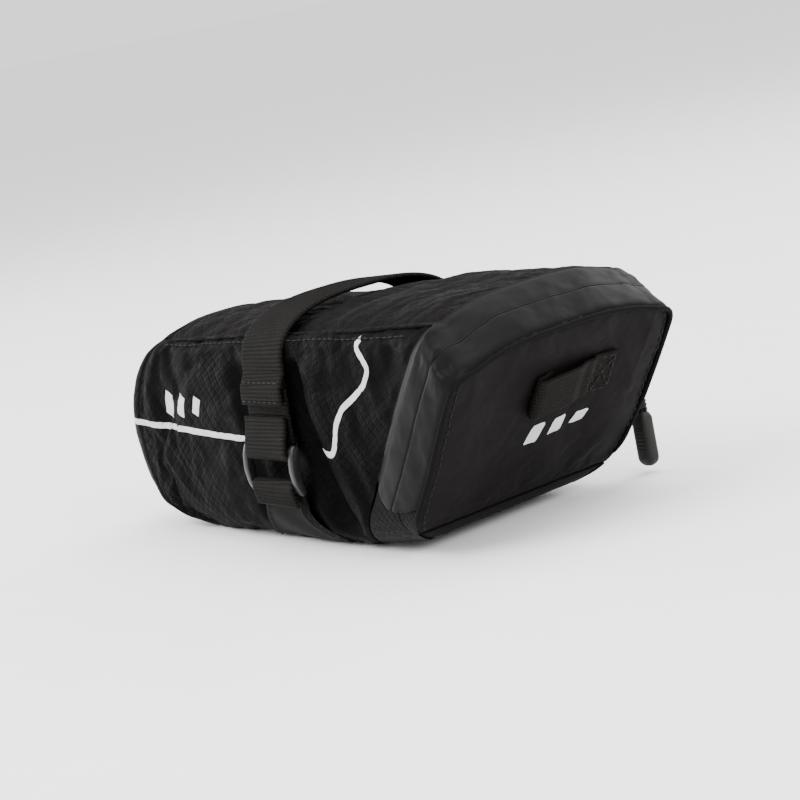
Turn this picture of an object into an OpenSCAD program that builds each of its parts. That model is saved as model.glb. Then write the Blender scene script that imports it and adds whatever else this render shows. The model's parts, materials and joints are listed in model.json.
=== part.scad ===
// Wedge-shaped under-saddle bag with a zipped rear flap, compression strap and light loop.
// Frame: +X to the rear, -Y is the left side, +Z up, z = 0 is the plane the base rests on.

/* [Shell] */
// Half width of the bag body at x = 0
side_half = 42.6;        // [36:0.2:50]
// Growth of the half width for each mm towards the rear
side_taper = 0.105;      // [0.05:0.005:0.15]
// Corner radius between the sides and the base
base_round = 15;         // [8:0.5:20]
// Corner radius between the sides and the top seam
top_round = 5;           // [3:0.5:9]
// Thickness of the padded shell fabric
shell_wall = 1.6;        // [1.2:0.1:2.5]
// Rise of the top surface above its side seams
top_crown = 4.6;         // [1:0.2:7]
// Height of the top seam at the nose
nose_seam_z = 71;        // [60:0.5:80]
// Distance of the top seam end at the nose, forward of x = 0
nose_seam_x = 90;        // [80:1:110]
// Forward bulge of the nose panel
nose_bulge = 14;         // [6:0.5:18]

/* [Rear] */
// Height of the front band seam at the top
band_top_z = 76.4;       // [70:0.2:85]
// Distance of the front band seam at the top, behind x = 0
band_top_x = 72.5;       // [60:0.5:85]
// Height of the upper edge of the rear panel
lip_z = 61.3;            // [50:0.5:70]
// Distance of the rear panel plane from x = 0 at the base plane
panel_foot_x = 46.6;     // [40:0.2:55]
// Backward lean of the rear panel for each mm of height
panel_lean = 0.674;      // [0.4:0.01:0.9]
// Rearward bulge of the rear panel
panel_bulge = 1;         // [0:0.2:3]

// Rise of the base towards the rear panel
base_lift = 4.5;         // [0:0.1:8]

/* [Compression strap] */
// Webbing width
strap_w = 25;            // [20:1:30]
// Webbing thickness
strap_t = 1.5;           // [1:0.1:2.5]
// Strap centre, forward of x = 0
strap_x = 17.6;          // [10:0.5:40]
// Dip of the top surface under the strap
strap_dip = 1.6;         // [0:0.1:3]
// Free height between the strap and the top of the bag
rail_gap = 4.5;          // [4.4:0.1:12]
// Height of the hemmed strap ends on the sides
hem_z = 51;              // [45:0.5:58]

/* [Buckle] */
// Overall width of the ladder-lock buckle
lock_w = 31;             // [29:0.5:36]
// Height of the upper buckle bar
lock_top_z = 35.2;       // [31:0.5:37]
// Overall height of the buckle
lock_h = 15;             // [13:0.5:20]
// Bar diameter of the buckle
bar_d = 2.4;             // [1.8:0.1:3.5]

/* [Light loop] */
// Webbing width of the light loop
loop_w = 15;             // [12:0.5:20]
// Length of the light loop across the panel
loop_len = 36;           // [28:1:44]
// Free depth inside the light loop
loop_gap = 5.9;          // [5.8:0.1:9]

/* [Zip pull] */
// Position of the slider up the zip, height of its centre
slider_z = 29;           // [28:0.5:50]
// Length of the moulded grip
grip_len = 19.5;         // [16:0.5:26]
// Width of the moulded grip
grip_w = 7;              // [5:0.5:10]
// Cord diameter
cord_d = 1.6;            // [1:0.1:2.5]

/* [Hidden] */
c_side = [0.12, 0.12, 0.125];
c_top = [0.2, 0.19, 0.18];
c_band = [0.3, 0.3, 0.31];
c_web = [0.17, 0.165, 0.155];
c_trim = [0.08, 0.08, 0.085];
c_reflect = [0.72, 0.73, 0.75];
gap = 0.12;
rows = 18;
hinge_row = 3;
zip_row = 7;

function lerp(a, b, t) = a + (b - a) * t;
function edge_z(x) = x < band_top_x
    ? lerp(nose_seam_z, band_top_z, (x + nose_seam_x) / (band_top_x + nose_seam_x))
    : lerp(band_top_z, lip_z, min(1, (x - band_top_x) / (lip_x - band_top_x)));
lip_x = panel_foot_x + panel_lean * lip_z;
function seam_round(x) = top_round + 4 * max(0, min(1, (x - 30) / 45));
function half_w(x) = side_half + side_taper * x;
function arc_in(r, d) = d < r ? r - sqrt(max(0, r * r - (r - d) * (r - d))) : 0;
function side_y(x, z) = half_w(x) - 0.0024 * pow(max(0, z - 37), 2)
    - arc_in(base_round, z) - arc_in(seam_round(x), edge_z(x) - z);

// Section rows: base arc 0..6, flat side 6..14, seam arc 14..18
function row_z(i, h, r) = i <= 6 ? base_round * (1 - cos(15 * i))
    : i <= 14 ? lerp(base_round, h - r, (i - 6) / 8)
    : h - r + r * sin((i - 14) * 22.5);
function row_a(i) = i < 6 ? -90 + 15 * i : i <= 14 ? 0 : (i - 14) * 22.5;

// Seam lines in the length-height plane, as [x, z] of each row
foot_line = [[0, panel_foot_x - 3], [1.2, panel_foot_x - 0.2], [3, panel_foot_x + 1.7],
    [6, panel_foot_x + 6 * panel_lean], [100, panel_foot_x + 100 * panel_lean]];
nose_line = [[0, 81 - nose_seam_x], [0.6, 76 - nose_seam_x], [2.5, 70 - nose_seam_x],
    [7, 63 - nose_seam_x], [12, 58.6 - nose_seam_x], [18, 55.3 - nose_seam_x],
    [26, 52.8 - nose_seam_x], [36, 51.8 - nose_seam_x], [46, 53 - nose_seam_x],
    [55, 56.6 - nose_seam_x], [61, 60.5 - nose_seam_x], [66, 65.2 - nose_seam_x],
    [69.5, 69 - nose_seam_x], [nose_seam_z, 72 - nose_seam_x]];
front_slope = 0.69;
function line_f(i) = let (z = row_z(i, band_top_z, seam_round(band_top_x)))
    [band_top_x - front_slope * (band_top_z - z), z];
function line_r(i) = let (z = row_z(i, lip_z, seam_round(lip_x))) [lookup(z, foot_line), z];
function line_n(i) = let (z = row_z(i, nose_seam_z, seam_round(-nose_seam_x)))
    [lookup(z, nose_line) - 72, z];
function line_m(i) = i >= zip_row ? lerp(line_f(i), line_r(i), 0.5)
    : let (t = (i - hinge_row) / (zip_row - hinge_row))
      lerp(line_r(i) - [0.4, 0], lerp(line_f(i), line_r(i), 0.5), pow(t, 0.7));
hinge_p = line_r(hinge_row);

function side_pt(q, i, d) = [q[0], -side_y(q[0], q[1]) - d * cos(row_a(i)), q[1] + d * sin(row_a(i))];
function crown_h(x) = top_crown - strap_dip * exp(-pow((x + strap_x) / 22, 2));
function crown(y, x) = let (k = min(1, abs(y) / side_y(x, edge_z(x)))) crown_h(x) * (1 - pow(k, 3));
function top_pt(q, s, d) = let (y = s * side_y(q[0], q[1])) [q[0], y, q[1] + crown(y, q[0]) + d];

// The base curves up towards the rear panel
function lift(p) = let (k = max(0, (p[0] - 5) / (panel_foot_x - 5)))
    p + [0, 0, base_lift * min(1, pow(k, 1.5)) * max(0, 1 - p[2] / 30)];

// Closed slab between two equally sized point grids, a outside and b inside
module slab(a, b) {
    n = len(a);
    m = len(a[0]);
    pts = [for (r = a) for (p = r) lift(p), for (r = b) for (p = r) lift(p)];
    o = n * m;
    quads = [
        for (i = [0:n - 2]) for (j = [0:m - 2])
            [i * m + j, i * m + j + 1, (i + 1) * m + j + 1, (i + 1) * m + j],
        for (i = [0:n - 2]) for (j = [0:m - 2])
            [o + i * m + j, o + (i + 1) * m + j, o + (i + 1) * m + j + 1, o + i * m + j + 1],
        for (i = [0:n - 2]) [i * m, (i + 1) * m, o + (i + 1) * m, o + i * m],
        for (i = [0:n - 2]) [i * m + m - 1, o + i * m + m - 1, o + (i + 1) * m + m - 1, (i + 1) * m + m - 1],
        for (j = [0:m - 2]) [j, o + j, o + j + 1, j + 1],
        for (j = [0:m - 2]) let (k = (n - 1) * m) [k + j, k + j + 1, o + k + j + 1, o + k + j]];
    polyhedron(pts, [for (q = quads) each [[q[0], q[1], q[2]], [q[0], q[2], q[3]]]], convexity = 8);
}
module both_sides(side) {
    if (side < 0) children();
    else mirror([0, 1, 0]) children();
}

// Grid over the left side between two seam lines; rows ia..ib, offset d
function side_grid(la, lb, cols, d) = [for (k = [0:cols])
    [for (i = [0:len(la) - 1]) side_pt(lerp(la[i][0], lb[i][0], k / cols), la[i][1], d)]];
function with_row(rs, which) = [for (i = rs)
    [which == "f" ? line_f(i) : which == "r" ? line_r(i) : which == "m" ? line_m(i) : line_n(i), i]];
function shift_x(l, e) = [for (p = l) [[p[0][0] + e, p[0][1]], p[1]]];

module side_shape() {
    f = shift_x(with_row([0:rows], "f"), -gap);
    n = with_row([0:rows], "n");
    slab(side_grid(n, f, 18, 0), side_grid(n, f, 18, -shell_wall));
}
module side_panel_left() color(c_side) both_sides(-1) side_shape();
module side_panel_right() color(c_side) both_sides(1) side_shape();

module top_panel() color(c_top) {
    a = [line_n(rows)[0], line_n(rows)[1]];
    b = [line_f(rows)[0] - gap, line_f(rows)[1]];
    g = [for (d = [0, -shell_wall]) [for (k = [0:14])
        [for (s = [-8:8]) top_pt(lerp(a, b, k / 14), s / 8, d)]]];
    slab(g[0], g[1]);
}

module bottom_panel() {
    flat = [for (k = [0:10]) lerp(line_n(0), line_r(0), k / 10)];
    lips = [for (i = [1:hinge_row]) line_r(i)];
    tilt = [18, 37, 56];
    function row(p, i, d, a) = [for (s = [-6:6])
        let (w = side_y(p[0], p[1]) - (i > 0 ? shell_wall + gap : 0))
        [p[0] - d * sin(a), s / 6 * w, p[1] + d * cos(a)]];
    g = [for (d = [0, shell_wall]) concat([for (p = flat) row(p, 0, d, 0)],
        [for (i = [0:hinge_row - 1]) row(lips[i], i + 1, d, tilt[i])])];
    color(c_side) slab(g[1], g[0]);
}

module nose_panel() {
    function bulge(z) = nose_bulge * max(0.08, pow(sin(180 * min(1, z / nose_seam_z)), 0.6));
    function pt(i, f, d) = let (q = line_n(i), y = side_y(q[0], q[1]), r = bulge(q[1]), c = cos(row_a(i)))
        [q[0] - gap - (r + d * c) * sin(f), y - r + (r + d * c) * cos(f), q[1] + d * sin(row_a(i))];
    function across(i, d) = concat([for (f = [0:15:90]) let (p = pt(i, f, d)) [p[0], -p[1], p[2]]],
        [let (p = pt(i, 90, d)) [p[0] - bulge(p[2]) * 0.1, 0, p[2]]],
        [for (f = [90:-15:0]) pt(i, f, d)]);
    color(c_side) slab([for (i = [0:rows]) across(i, 0)], [for (i = [0:rows]) across(i, -shell_wall)]);
}

// Ring over both sides and the top at fraction t of the band, from row ia upwards
function ring(t, ia, d) = concat(
    [for (i = [ia:rows]) side_pt(lerp(line_f(i), line_r(i), t), i, d)],
    [for (s = [-7:7]) top_pt(lerp(line_f(rows), line_r(rows), t), s / 8, d)],
    [for (i = [rows:-1:ia]) let (p = side_pt(lerp(line_f(i), line_r(i), t), i, d)) [p[0], -p[1], p[2]]]);
module ring_slab(t0, t1, n, ia, d0, d1) {
    g = [for (d = [d1, d0]) [for (k = [0:n]) ring(lerp(t0, t1, k / n), ia, d)]];
    slab(g[0], g[1]);
}
module band_front() color(c_band) ring_slab(0, 0.465, 4, zip_row, -shell_wall, 0);
module band_rear() color(c_band) ring_slab(0.535, 1, 4, zip_row, -shell_wall, 0);
module zip_body() color(c_trim) ring_slab(0.36, 0.4965, 2, zip_row, -shell_wall - 1.1, -shell_wall - 0.05);
module zip_flap() color(c_trim) ring_slab(0.5035, 0.64, 2, zip_row, -shell_wall - 1.1, -shell_wall - 0.05);

module end_patch_shape() {
    f = with_row([0:zip_row], "f");
    r = [for (i = [0:zip_row]) [i <= hinge_row ? line_r(i) : line_m(i) - [0.25, 0], i]];
    slab(side_grid(f, r, 8, 0), side_grid(f, r, 8, -shell_wall));
}
module end_patch_left() color(c_side) both_sides(-1) end_patch_shape();
module end_patch_right() color(c_side) both_sides(1) end_patch_shape();
module gusset_shape() {
    m = with_row([hinge_row + 1:zip_row], "m");
    r = with_row([hinge_row + 1:zip_row], "r");
    slab(side_grid(m, r, 4, 0), side_grid(m, r, 4, -shell_wall));
}
module gusset_left() color(c_side) both_sides(-1) gusset_shape();
module gusset_right() color(c_side) both_sides(1) gusset_shape();

lean_a = atan(panel_lean);
module rear_panel() {
    top = line_r(rows)[1] - shell_wall - 0.8;
    function row(i, d) = let (q = line_r(i), k = (q[1] - hinge_p[1]) / (lip_z - hinge_p[1]),
            z = hinge_p[1] + 0.3 + k * (top - hinge_p[1] - 0.3), x = lookup(z, foot_line),
            y = side_y(q[0], q[1]) - shell_wall - 2 * gap, e = i > 14 ? 0.5 : 0)
        [for (s = [-8:8]) let (b = panel_bulge * (1 - pow(abs(s / 8), 4)) * (1 - pow(abs(2 * k - 1), 6)) - d)
            [x + b * cos(lean_a), s / 8 * (y - e), z - b * sin(lean_a) + crown(s / 8 * y, q[0]) * k]];
    rs = concat([hinge_row + 0], [for (i = [hinge_row + 1:rows]) i]);
    color(c_side) slab([for (i = rs) row(i, shell_wall)], [for (i = rs) row(i, 0)]);
}

// Round cord or piping along a list of points
module tube(p, r, n = 8) {
    m = len(p);
    function dir(i) = let (d = p[min(m - 1, i + 1)] - p[max(0, i - 1)]) d / norm(d);
    ref = abs(dir(0)[1]) > 0.9 ? [1, 0, 0] : [0, 1, 0];
    start = cross(dir(0), ref);
    fr = [for (i = 0, u = start / norm(start); i < m; i = i + 1,
        u = let (w = u - (u * dir(i)) * dir(i)) w / norm(w)) u];
    pts = [for (i = [0:m - 1]) for (k = [0:n - 1]) let (v = cross(dir(i), fr[i]))
        p[i] + r * (cos(360 * k / n) * fr[i] + sin(360 * k / n) * v)];
    faces = concat([[for (k = [0:n - 1]) k]], [[for (k = [n - 1:-1:0]) (m - 1) * n + k]],
        [for (i = [0:m - 2]) for (k = [0:n - 1]) let (k2 = (k + 1) % n)
            each [[i * n + k, (i + 1) * n + k, (i + 1) * n + k2],
                [i * n + k, (i + 1) * n + k2, i * n + k2]]]);
    polyhedron(pts, faces, convexity = 10);
}
module seam_pipe(t0, t1) tube([for (k = [0:16]) let (q = lerp(line_f(17), line_n(17), lerp(t0, t1, k / 16)))
    side_pt(q, 17, 1.15)], 1.1);
module seam_pipes() {
    seam_pipe(0.02, 0.47);
    seam_pipe(0.66, 0.99);
}
module piping_top_left() color(c_trim) both_sides(-1) seam_pipes();
module piping_top_right() color(c_trim) both_sides(1) seam_pipes();
module rear_piping() {
    r = 1;
    e = [(r + 0.25) * cos(lean_a), 0, -(r + 0.25) * sin(lean_a)];
    function pp(i) = lift(side_pt(line_r(i), i, 0.2) + e);
    function fl(p) = [p[0], -p[1], p[2]];
    color(c_trim) tube(concat([for (i = [hinge_row + 1:rows]) pp(i)],
        [for (s = [-7:7]) top_pt(line_r(rows), s / 8, 0.2) + e],
        [for (i = [rows:-1:hinge_row + 1]) fl(pp(i))]), r);
}

// Thin reflective ribbon on the left side along [x, z] points
module ribbon(path, w, d0, d1) {
    n = len(path);
    function nrm(i) = let (a = path[min(n - 1, i + 1)] - path[max(0, i - 1)]) [-a[1], a[0]] / norm(a);
    function pt(p, d) = [p[0], -side_y(p[0], p[1]) - d, p[1]];
    function g(d) = [for (i = [0:n - 1]) [for (k = [-0.5, 0.5]) pt(path[i] + k * w * nrm(i), d)]];
    slab(g(d1), g(d0));
}
stripe_path = concat([for (k = [0:11]) [lerp(-108, 15.5, k / 11), lerp(40.8, 34.6, k / 11)]],
    [[17.8, 35.2], [19.2, 37.5], [20, 41], [22, 45.6], [25.4, 49.8], [33.8, 54.9], [39.4, 58.4], [42.4, 61.8],
     [42.8, 64.4], [39.4, 67.4]]);
module stripe_left() color(c_reflect) both_sides(-1) ribbon(stripe_path, 2.1, 0.03, 0.28);
module stripe_right() color(c_reflect) both_sides(1) ribbon(stripe_path, 2.1, 0.03, 0.28);
module side_mark() for (k = [0:2])
    ribbon([[-90 + 11 * k, 44.5 + k], [-86.5 + 11 * k, 52 - k]], 6, 0.15, 0.4);
module mark_left() color(c_reflect) both_sides(-1) side_mark();
module mark_right() color(c_reflect) both_sides(1) side_mark();
module on_panel(u) translate([panel_foot_x, 0, 0]) rotate([0, lean_a, 0])
    translate([panel_bulge, 0, u]) children();
module rear_mark() color(c_reflect) on_panel(0) translate([0.03, 0, 0]) rotate([90, 0, 90])
    linear_extrude(0.3) for (k = [0:2]) translate([-7.5 + 10.5 * k, 33.6 + k])
        polygon([[0, 0], [6, 0], [8, 7.5 - 2 * k], [2, 7.5 - 2 * k]]);

module light_loop() color(c_web) on_panel(47.5) translate([0.04, -12, 0]) linear_extrude(loop_w) {
    g = loop_gap + 1.4;
    polygon([[0, 0], [0, 3], [loop_gap - 1, 4.2], [loop_gap, 6], [loop_gap, loop_len - 13],
        [loop_gap - 1, loop_len - 11], [0, loop_len - 9], [0, loop_len + 2], [1.4, loop_len + 2],
        [1.4, loop_len - 8.4], [g - 0.8, loop_len - 10], [g, loop_len - 12.6], [g, 5.2], [g - 0.8, 2.9],
        [1.4, 1.9], [1.4, 0]]);
}

// Webbing on the left side: path of [distance from the shell, z], thickness t to its left
module side_web(path, t, x0, x1) {
    n = len(path);
    function nrm(i) = let (a = path[min(n - 1, i + 1)] - path[max(0, i - 1)]) [-a[1], a[0]] / norm(a);
    function g(o) = [for (i = [0:n - 1]) let (p = path[i] + o * nrm(i))
        [for (k = [0:4]) let (x = lerp(x0, x1, k / 4)) [x, -side_y(x, max(1.5, p[1])) - p[0], p[1]]]];
    if (t > 0) slab(g(t), g(0));
    else slab(g(0), g(t));
}
sx0 = -strap_x - strap_w / 2;
sx1 = -strap_x + strap_w / 2;
bar_c = 3.6;
low_z = lock_top_z - lock_h + bar_d;
wrap_r = bar_d / 2 + 0.35;
module adjuster() side_web(concat([[bar_c - wrap_r, 56], [bar_c - wrap_r, 48], [bar_c - wrap_r, lock_top_z + 6]],
    [for (a = [180:30:360]) [bar_c, lock_top_z] + wrap_r * [cos(a), sin(a)]],
    [[4.6, lock_top_z + 3], [3.1, lock_top_z + 7], [2.6, lock_top_z + 10], [2.6, hem_z - 3.5]]),
    -strap_t, sx0, sx1);
module adjuster_left() color(c_web) both_sides(-1) adjuster();
module adjuster_right() color(c_web) both_sides(1) adjuster();
module lower_web() side_web(concat([[bar_c - wrap_r, low_z - 9.2], [bar_c - wrap_r, low_z - 5.4]],
    [for (a = [180:-30:0]) [bar_c, low_z] + wrap_r * [cos(a), sin(a)]],
    [[4.8, low_z - 2.8], [4.1, low_z - 5.4], [3.75, low_z - 7.9]]), strap_t, sx0, sx1);
module lower_web_left() color(c_web) both_sides(-1) lower_web();
module lower_web_right() color(c_web) both_sides(1) lower_web();
module wing() {
    function pt(i, k, d) = let (z = row_z(i, 70, 5), f = pow(1 - min(1, z / base_round), 1.3),
        x = lerp(-strap_x - strap_w / 2 - 1 - 12 * f, -strap_x + strap_w / 2 + 1 + 13 * f, k / 8))
        side_pt([x, z], i, d);
    function g(d) = [for (i = [2:5]) [for (k = [0:8]) pt(i, k, d)]];
    slab(g(0.15), g(1.15));
}
module wing_left() color(c_web) both_sides(-1) wing();
module wing_right() color(c_web) both_sides(1) wing();

module strap_over() {
    z0 = 62;
    top = edge_z(-strap_x) + crown_h(-strap_x) + rail_gap;
    zs = [hem_z, 52, 54.5, 57, 59.5];
    function d_at(z) = 0.5 + 2.3 * max(0, min(1, (61.5 - z) / 5));
    function col(x, t) = concat(
        [for (z = zs) [x, -side_y(x, z) - d_at(z) - t, z]],
        [for (a = [0:9:180]) let (c = cos(a), s = sin(a), w = side_y(x, z0) + 0.5 + t)
            [x, -w * sign(c) * pow(abs(c), 0.77), z0 + (top + t - z0) * pow(abs(s), 0.77)]],
        [for (k = [4:-1:0]) let (z = zs[k]) [x, side_y(x, z) + d_at(z) + t, z]]);
    color(c_web) slab([for (k = [0:4]) col(lerp(sx0, sx1, k / 4), strap_t)],
        [for (k = [0:4]) col(lerp(sx0, sx1, k / 4), 0)]);
}

module lock() {
    cz = lock_top_z + bar_d / 2 - lock_h / 2;
    translate([-strap_x, -side_y(-strap_x, cz), cz]) rotate([0, 0, -atan(side_taper)])
        translate([0, -bar_c, 0]) {
            for (z = [lock_h / 2 - bar_d / 2, -lock_h / 2 + bar_d / 2]) translate([-lock_w / 2 + 1, 0, z])
                rotate([0, 90, 0]) cylinder(d = bar_d, h = lock_w - 2, $fn = 32);
            for (s = [-1, 1]) translate([s * (lock_w / 2 - 1.25) - 1.25, -1.6, -lock_h / 2])
                cube([2.5, 3.2, lock_h]);
        }
}
module buckle_left() color(c_trim) both_sides(-1) lock();
module buckle_right() color(c_trim) both_sides(1) lock();

// Slider on the right side: local Y' along the zip, Z' outwards
slide_d = [sin(lean_a), 0, cos(lean_a)];
slide_p = let (front = band_top_x - front_slope * (band_top_z - slider_z),
    x = (front + panel_foot_x + panel_lean * slider_z) / 2) [x, side_y(x, slider_z), slider_z];
module at_slider() translate(slide_p) rotate([0, lean_a, 0]) rotate([-90 + 2, 0, 0]) children();
module zip_slider() color(c_trim) at_slider() {
    translate([-3.5, -5.5, 1]) cube([7, 11, 1.7]);
    translate([0, 0, 2.5]) rotate([0, 0, 90]) rotate([90, 0, 0]) rotate_extrude(angle = 180, $fn = 40)
        translate([3.4, 0]) circle(d = 1.4, $fn = 20);
}
pivot_d = 2.7 + 0.35 + cord_d / 2;
pull_p = slide_p + [0, pivot_d, 0.1];
across_d = [cos(lean_a), 0, -sin(lean_a)];
hang = [0.6, 8.2, -7.4];
module pull_cord() color(c_trim) translate(pull_p) {
    w = 2.4 * across_d;
    c = cord_d / 2 + 0.05;
    tube([hang - [c, 0, 3], hang + [-c, 0, 0.4], hang + [-c, 0, 2.6], [-1.9, 7.4, -2.6], [-3, 4.6, 0],
        [-2.9, 2, 0.9], -1.2 * w + [0, 0.35, 0], -0.7 * w, [0, 0, 0], 0.7 * w, 1.2 * w + [0, 0.35, 0],
        [3.3, 2, -1.9], [3.4, 4.6, -2.4], [2.4, 7.2, -3.8], hang + [c, 0, 2.6], hang + [c, 0, 0.4],
        hang + [c, 0, -3]], cord_d / 2, 10);
    translate(hang + [0, 0, 0.9]) scale([1, 0.8, 0.8]) rotate_extrude($fn = 32) hull() {
        translate([1, 0]) circle(d = 2.6, $fn = 20);
        translate([1, 1.6]) circle(d = 2.2, $fn = 20);
    }
}
module pull_grip() color(c_trim) translate(pull_p + hang - [0, 0, grip_len]) difference() {
    union() {
        translate([0, 0, grip_w / 2]) cylinder(d = grip_w, h = grip_len - grip_w / 2 - 1.5, $fn = 48);
        translate([0, 0, grip_w / 2]) rotate_extrude($fn = 48) intersection() {
            circle(d = grip_w, $fn = 48);
            translate([0, -grip_w]) square([grip_w, grip_w]);
        }
        translate([0, 0, grip_len - 1.5]) cylinder(d1 = grip_w, d2 = grip_w - 1.6, h = 1.5, $fn = 48);
    }
    for (s = [-1, 1]) translate([s * (cord_d / 2 + 0.05), 0, grip_len - 3.1])
        cylinder(d = cord_d + 0.06, h = 4, $fn = 24);
}

side_panel_left();
side_panel_right();
top_panel();
bottom_panel();
nose_panel();
band_front();
zip_body();
end_patch_left();
end_patch_right();
piping_top_left();
piping_top_right();
stripe_left();
stripe_right();
mark_left();
mark_right();
strap_over();
adjuster_left();
adjuster_right();
lower_web_left();
lower_web_right();
wing_left();
wing_right();
buckle_left();
buckle_right();
rear_panel();
band_rear();
zip_flap();
gusset_left();
gusset_right();
rear_piping();
light_loop();
rear_mark();
zip_slider();
pull_cord();
pull_grip();
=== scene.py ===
import bpy, math, json
import numpy as np
from mathutils import Vector, Matrix, noise
from mathutils.bvhtree import BVHTree


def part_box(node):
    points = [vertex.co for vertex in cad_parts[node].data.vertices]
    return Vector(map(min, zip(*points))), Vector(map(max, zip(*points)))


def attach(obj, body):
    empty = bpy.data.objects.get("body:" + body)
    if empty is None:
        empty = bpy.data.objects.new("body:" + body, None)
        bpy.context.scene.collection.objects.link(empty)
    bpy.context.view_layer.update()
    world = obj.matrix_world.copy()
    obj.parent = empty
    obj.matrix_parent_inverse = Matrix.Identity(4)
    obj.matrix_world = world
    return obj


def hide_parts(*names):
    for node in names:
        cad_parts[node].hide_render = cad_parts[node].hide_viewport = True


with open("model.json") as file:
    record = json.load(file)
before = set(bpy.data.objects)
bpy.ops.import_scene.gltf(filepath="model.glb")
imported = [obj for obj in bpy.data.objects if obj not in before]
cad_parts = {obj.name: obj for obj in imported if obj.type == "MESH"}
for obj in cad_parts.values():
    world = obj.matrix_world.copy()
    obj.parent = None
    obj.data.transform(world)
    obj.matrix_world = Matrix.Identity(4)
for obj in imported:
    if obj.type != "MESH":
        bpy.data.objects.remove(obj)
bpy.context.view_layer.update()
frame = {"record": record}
rec = frame["record"]
MM = 0.001
V = Vector

# ---- camera and light ----
K = 0.92
az, el, roll = math.radians(50.1), math.radians(9.6), math.radians(-11.2)
back = V((math.sin(az) * math.cos(el), -math.cos(az) * math.cos(el), math.sin(el)))
right = V((math.cos(az), math.sin(az), 0))
up = back.cross(right)
r2 = math.cos(roll) * right + math.sin(roll) * up
u2 = -math.sin(roll) * right + math.cos(roll) * up
cam = bpy.data.cameras.new("camera")
cam_ob = bpy.data.objects.new("camera", cam)
bpy.context.scene.collection.objects.link(cam_ob)
cam.sensor_width = 36
cam.lens = 2454 * 36 / 800
cam.clip_start = 0.01
loc = (r2 * -7.9 + u2 * 43.4 + back * 919) * K * MM
m3 = Matrix((r2, u2, back)).transposed()
cam_ob.matrix_world = Matrix.Translation(loc) @ m3.to_4x4()
bpy.context.scene.camera = cam_ob


def area(name, size, power, at, look=(0, 0, 0.04), tone=(1, 1, 1)):
    d = bpy.data.lights.new(name, "AREA")
    d.shape, d.size, d.size_y, d.energy, d.color = "RECTANGLE", size[0], size[1], power, tone
    o = bpy.data.objects.new(name, d)
    bpy.context.scene.collection.objects.link(o)
    o.location = at
    o.rotation_euler = (V(look) - V(at)).to_track_quat("-Z", "Y").to_euler()
    return o


area("key", (0.9, 0.7), 24, (-0.25, -1.0, 1.0))
area("rear_fill", (0.9, 0.7), 15, (1.3, -0.1, 0.75))
area("top", (1.2, 1.2), 17, (0.1, 0.3, 1.4))
area("right_fill", (1.0, 0.6), 9, (0.1, 1.3, 0.8))
area("left_rim", (0.5, 0.9), 9, (-1.2, -0.2, 0.5))
world = bpy.data.worlds.new("world")
world.use_nodes = True
world.node_tree.nodes["Background"].inputs[0].default_value = (1, 1, 1, 1)
world.node_tree.nodes["Background"].inputs[1].default_value = 1.45
bpy.context.scene.world = world


# ---- materials ----
class Nodes:
    def __init__(self, name, slot=None):
        self.m = bpy.data.materials.new(name)
        self.m.use_nodes = True
        self.t = self.m.node_tree
        self.b = self.t.nodes["Principled BSDF"]
        self.uv = self.t.nodes.new("ShaderNodeTexCoord")

    def new(self, kind, **kw):
        n = self.t.nodes.new(kind)
        for k, v in kw.items():
            setattr(n, k, v)
        return n

    def link(self, a, b):
        self.t.links.new(a, b)

    def val(self, x, sock):
        if isinstance(x, (int, float)):
            sock.default_value = x
        else:
            self.link(x, sock)

    def math(self, op, a, b=0.0, c=0.0):
        n = self.new("ShaderNodeMath", operation=op)
        self.val(a, n.inputs[0])
        self.val(b, n.inputs[1])
        if op in ("MULTIPLY_ADD", "SMOOTH_MIN", "SMOOTH_MAX", "WRAP", "COMPARE"):
            self.val(c, n.inputs[2])
        return n.outputs[0]

    def coords(self):
        s = self.new("ShaderNodeSeparateXYZ")
        self.link(self.uv.outputs["UV"], s.inputs[0])
        return s.outputs[0], s.outputs[1]

    def noise(self, scale, detail=3, uv=True, rough=0.6):
        n = self.new("ShaderNodeTexNoise")
        self.link(self.uv.outputs["UV" if uv else "Object"], n.inputs["Vector"])
        n.inputs["Scale"].default_value = scale
        n.inputs["Detail"].default_value = detail
        n.inputs["Roughness"].default_value = rough
        return n.outputs["Fac"]

    def ramp(self, fac, stops):
        r = self.new("ShaderNodeValToRGB")
        self.link(fac, r.inputs[0])
        e = r.color_ramp.elements
        while len(e) < len(stops):
            e.new(0.5)
        for q, (p, c) in zip(e, stops):
            q.position, q.color = p, (*c, 1)
        return r.outputs[0]

    def bump(self, height, dist, strength=1.0, prev=None):
        n = self.new("ShaderNodeBump")
        n.inputs["Distance"].default_value = dist
        n.inputs["Strength"].default_value = strength
        self.link(height, n.inputs["Height"])
        if prev is not None:
            self.link(prev, n.inputs["Normal"])
        return n.outputs[0]

    def out(self, color, rough, normal=None, sheen=0.0, spec=0.5, metal=0.0, coat=0.0):
        if isinstance(color, tuple):
            self.b.inputs["Base Color"].default_value = (*color, 1)
        else:
            self.link(color, self.b.inputs["Base Color"])
        self.val(rough, self.b.inputs["Roughness"])
        if normal is not None:
            self.link(normal, self.b.inputs["Normal"])
        self.b.inputs["Specular IOR Level"].default_value = spec
        self.b.inputs["Metallic"].default_value = metal
        self.b.inputs["Sheen Weight"].default_value = sheen
        self.b.inputs["Sheen Roughness"].default_value = 0.4
        self.b.inputs["Coat Weight"].default_value = coat
        return self.m


def frac_tri(n, x):
    """0 at whole numbers, 1 half way between."""
    f = n.math("FRACT", x)
    return n.math("SUBTRACT", 1.0, n.math("ABSOLUTE", n.math("MULTIPLY_ADD", f, 2.0, -1.0)))


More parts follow.
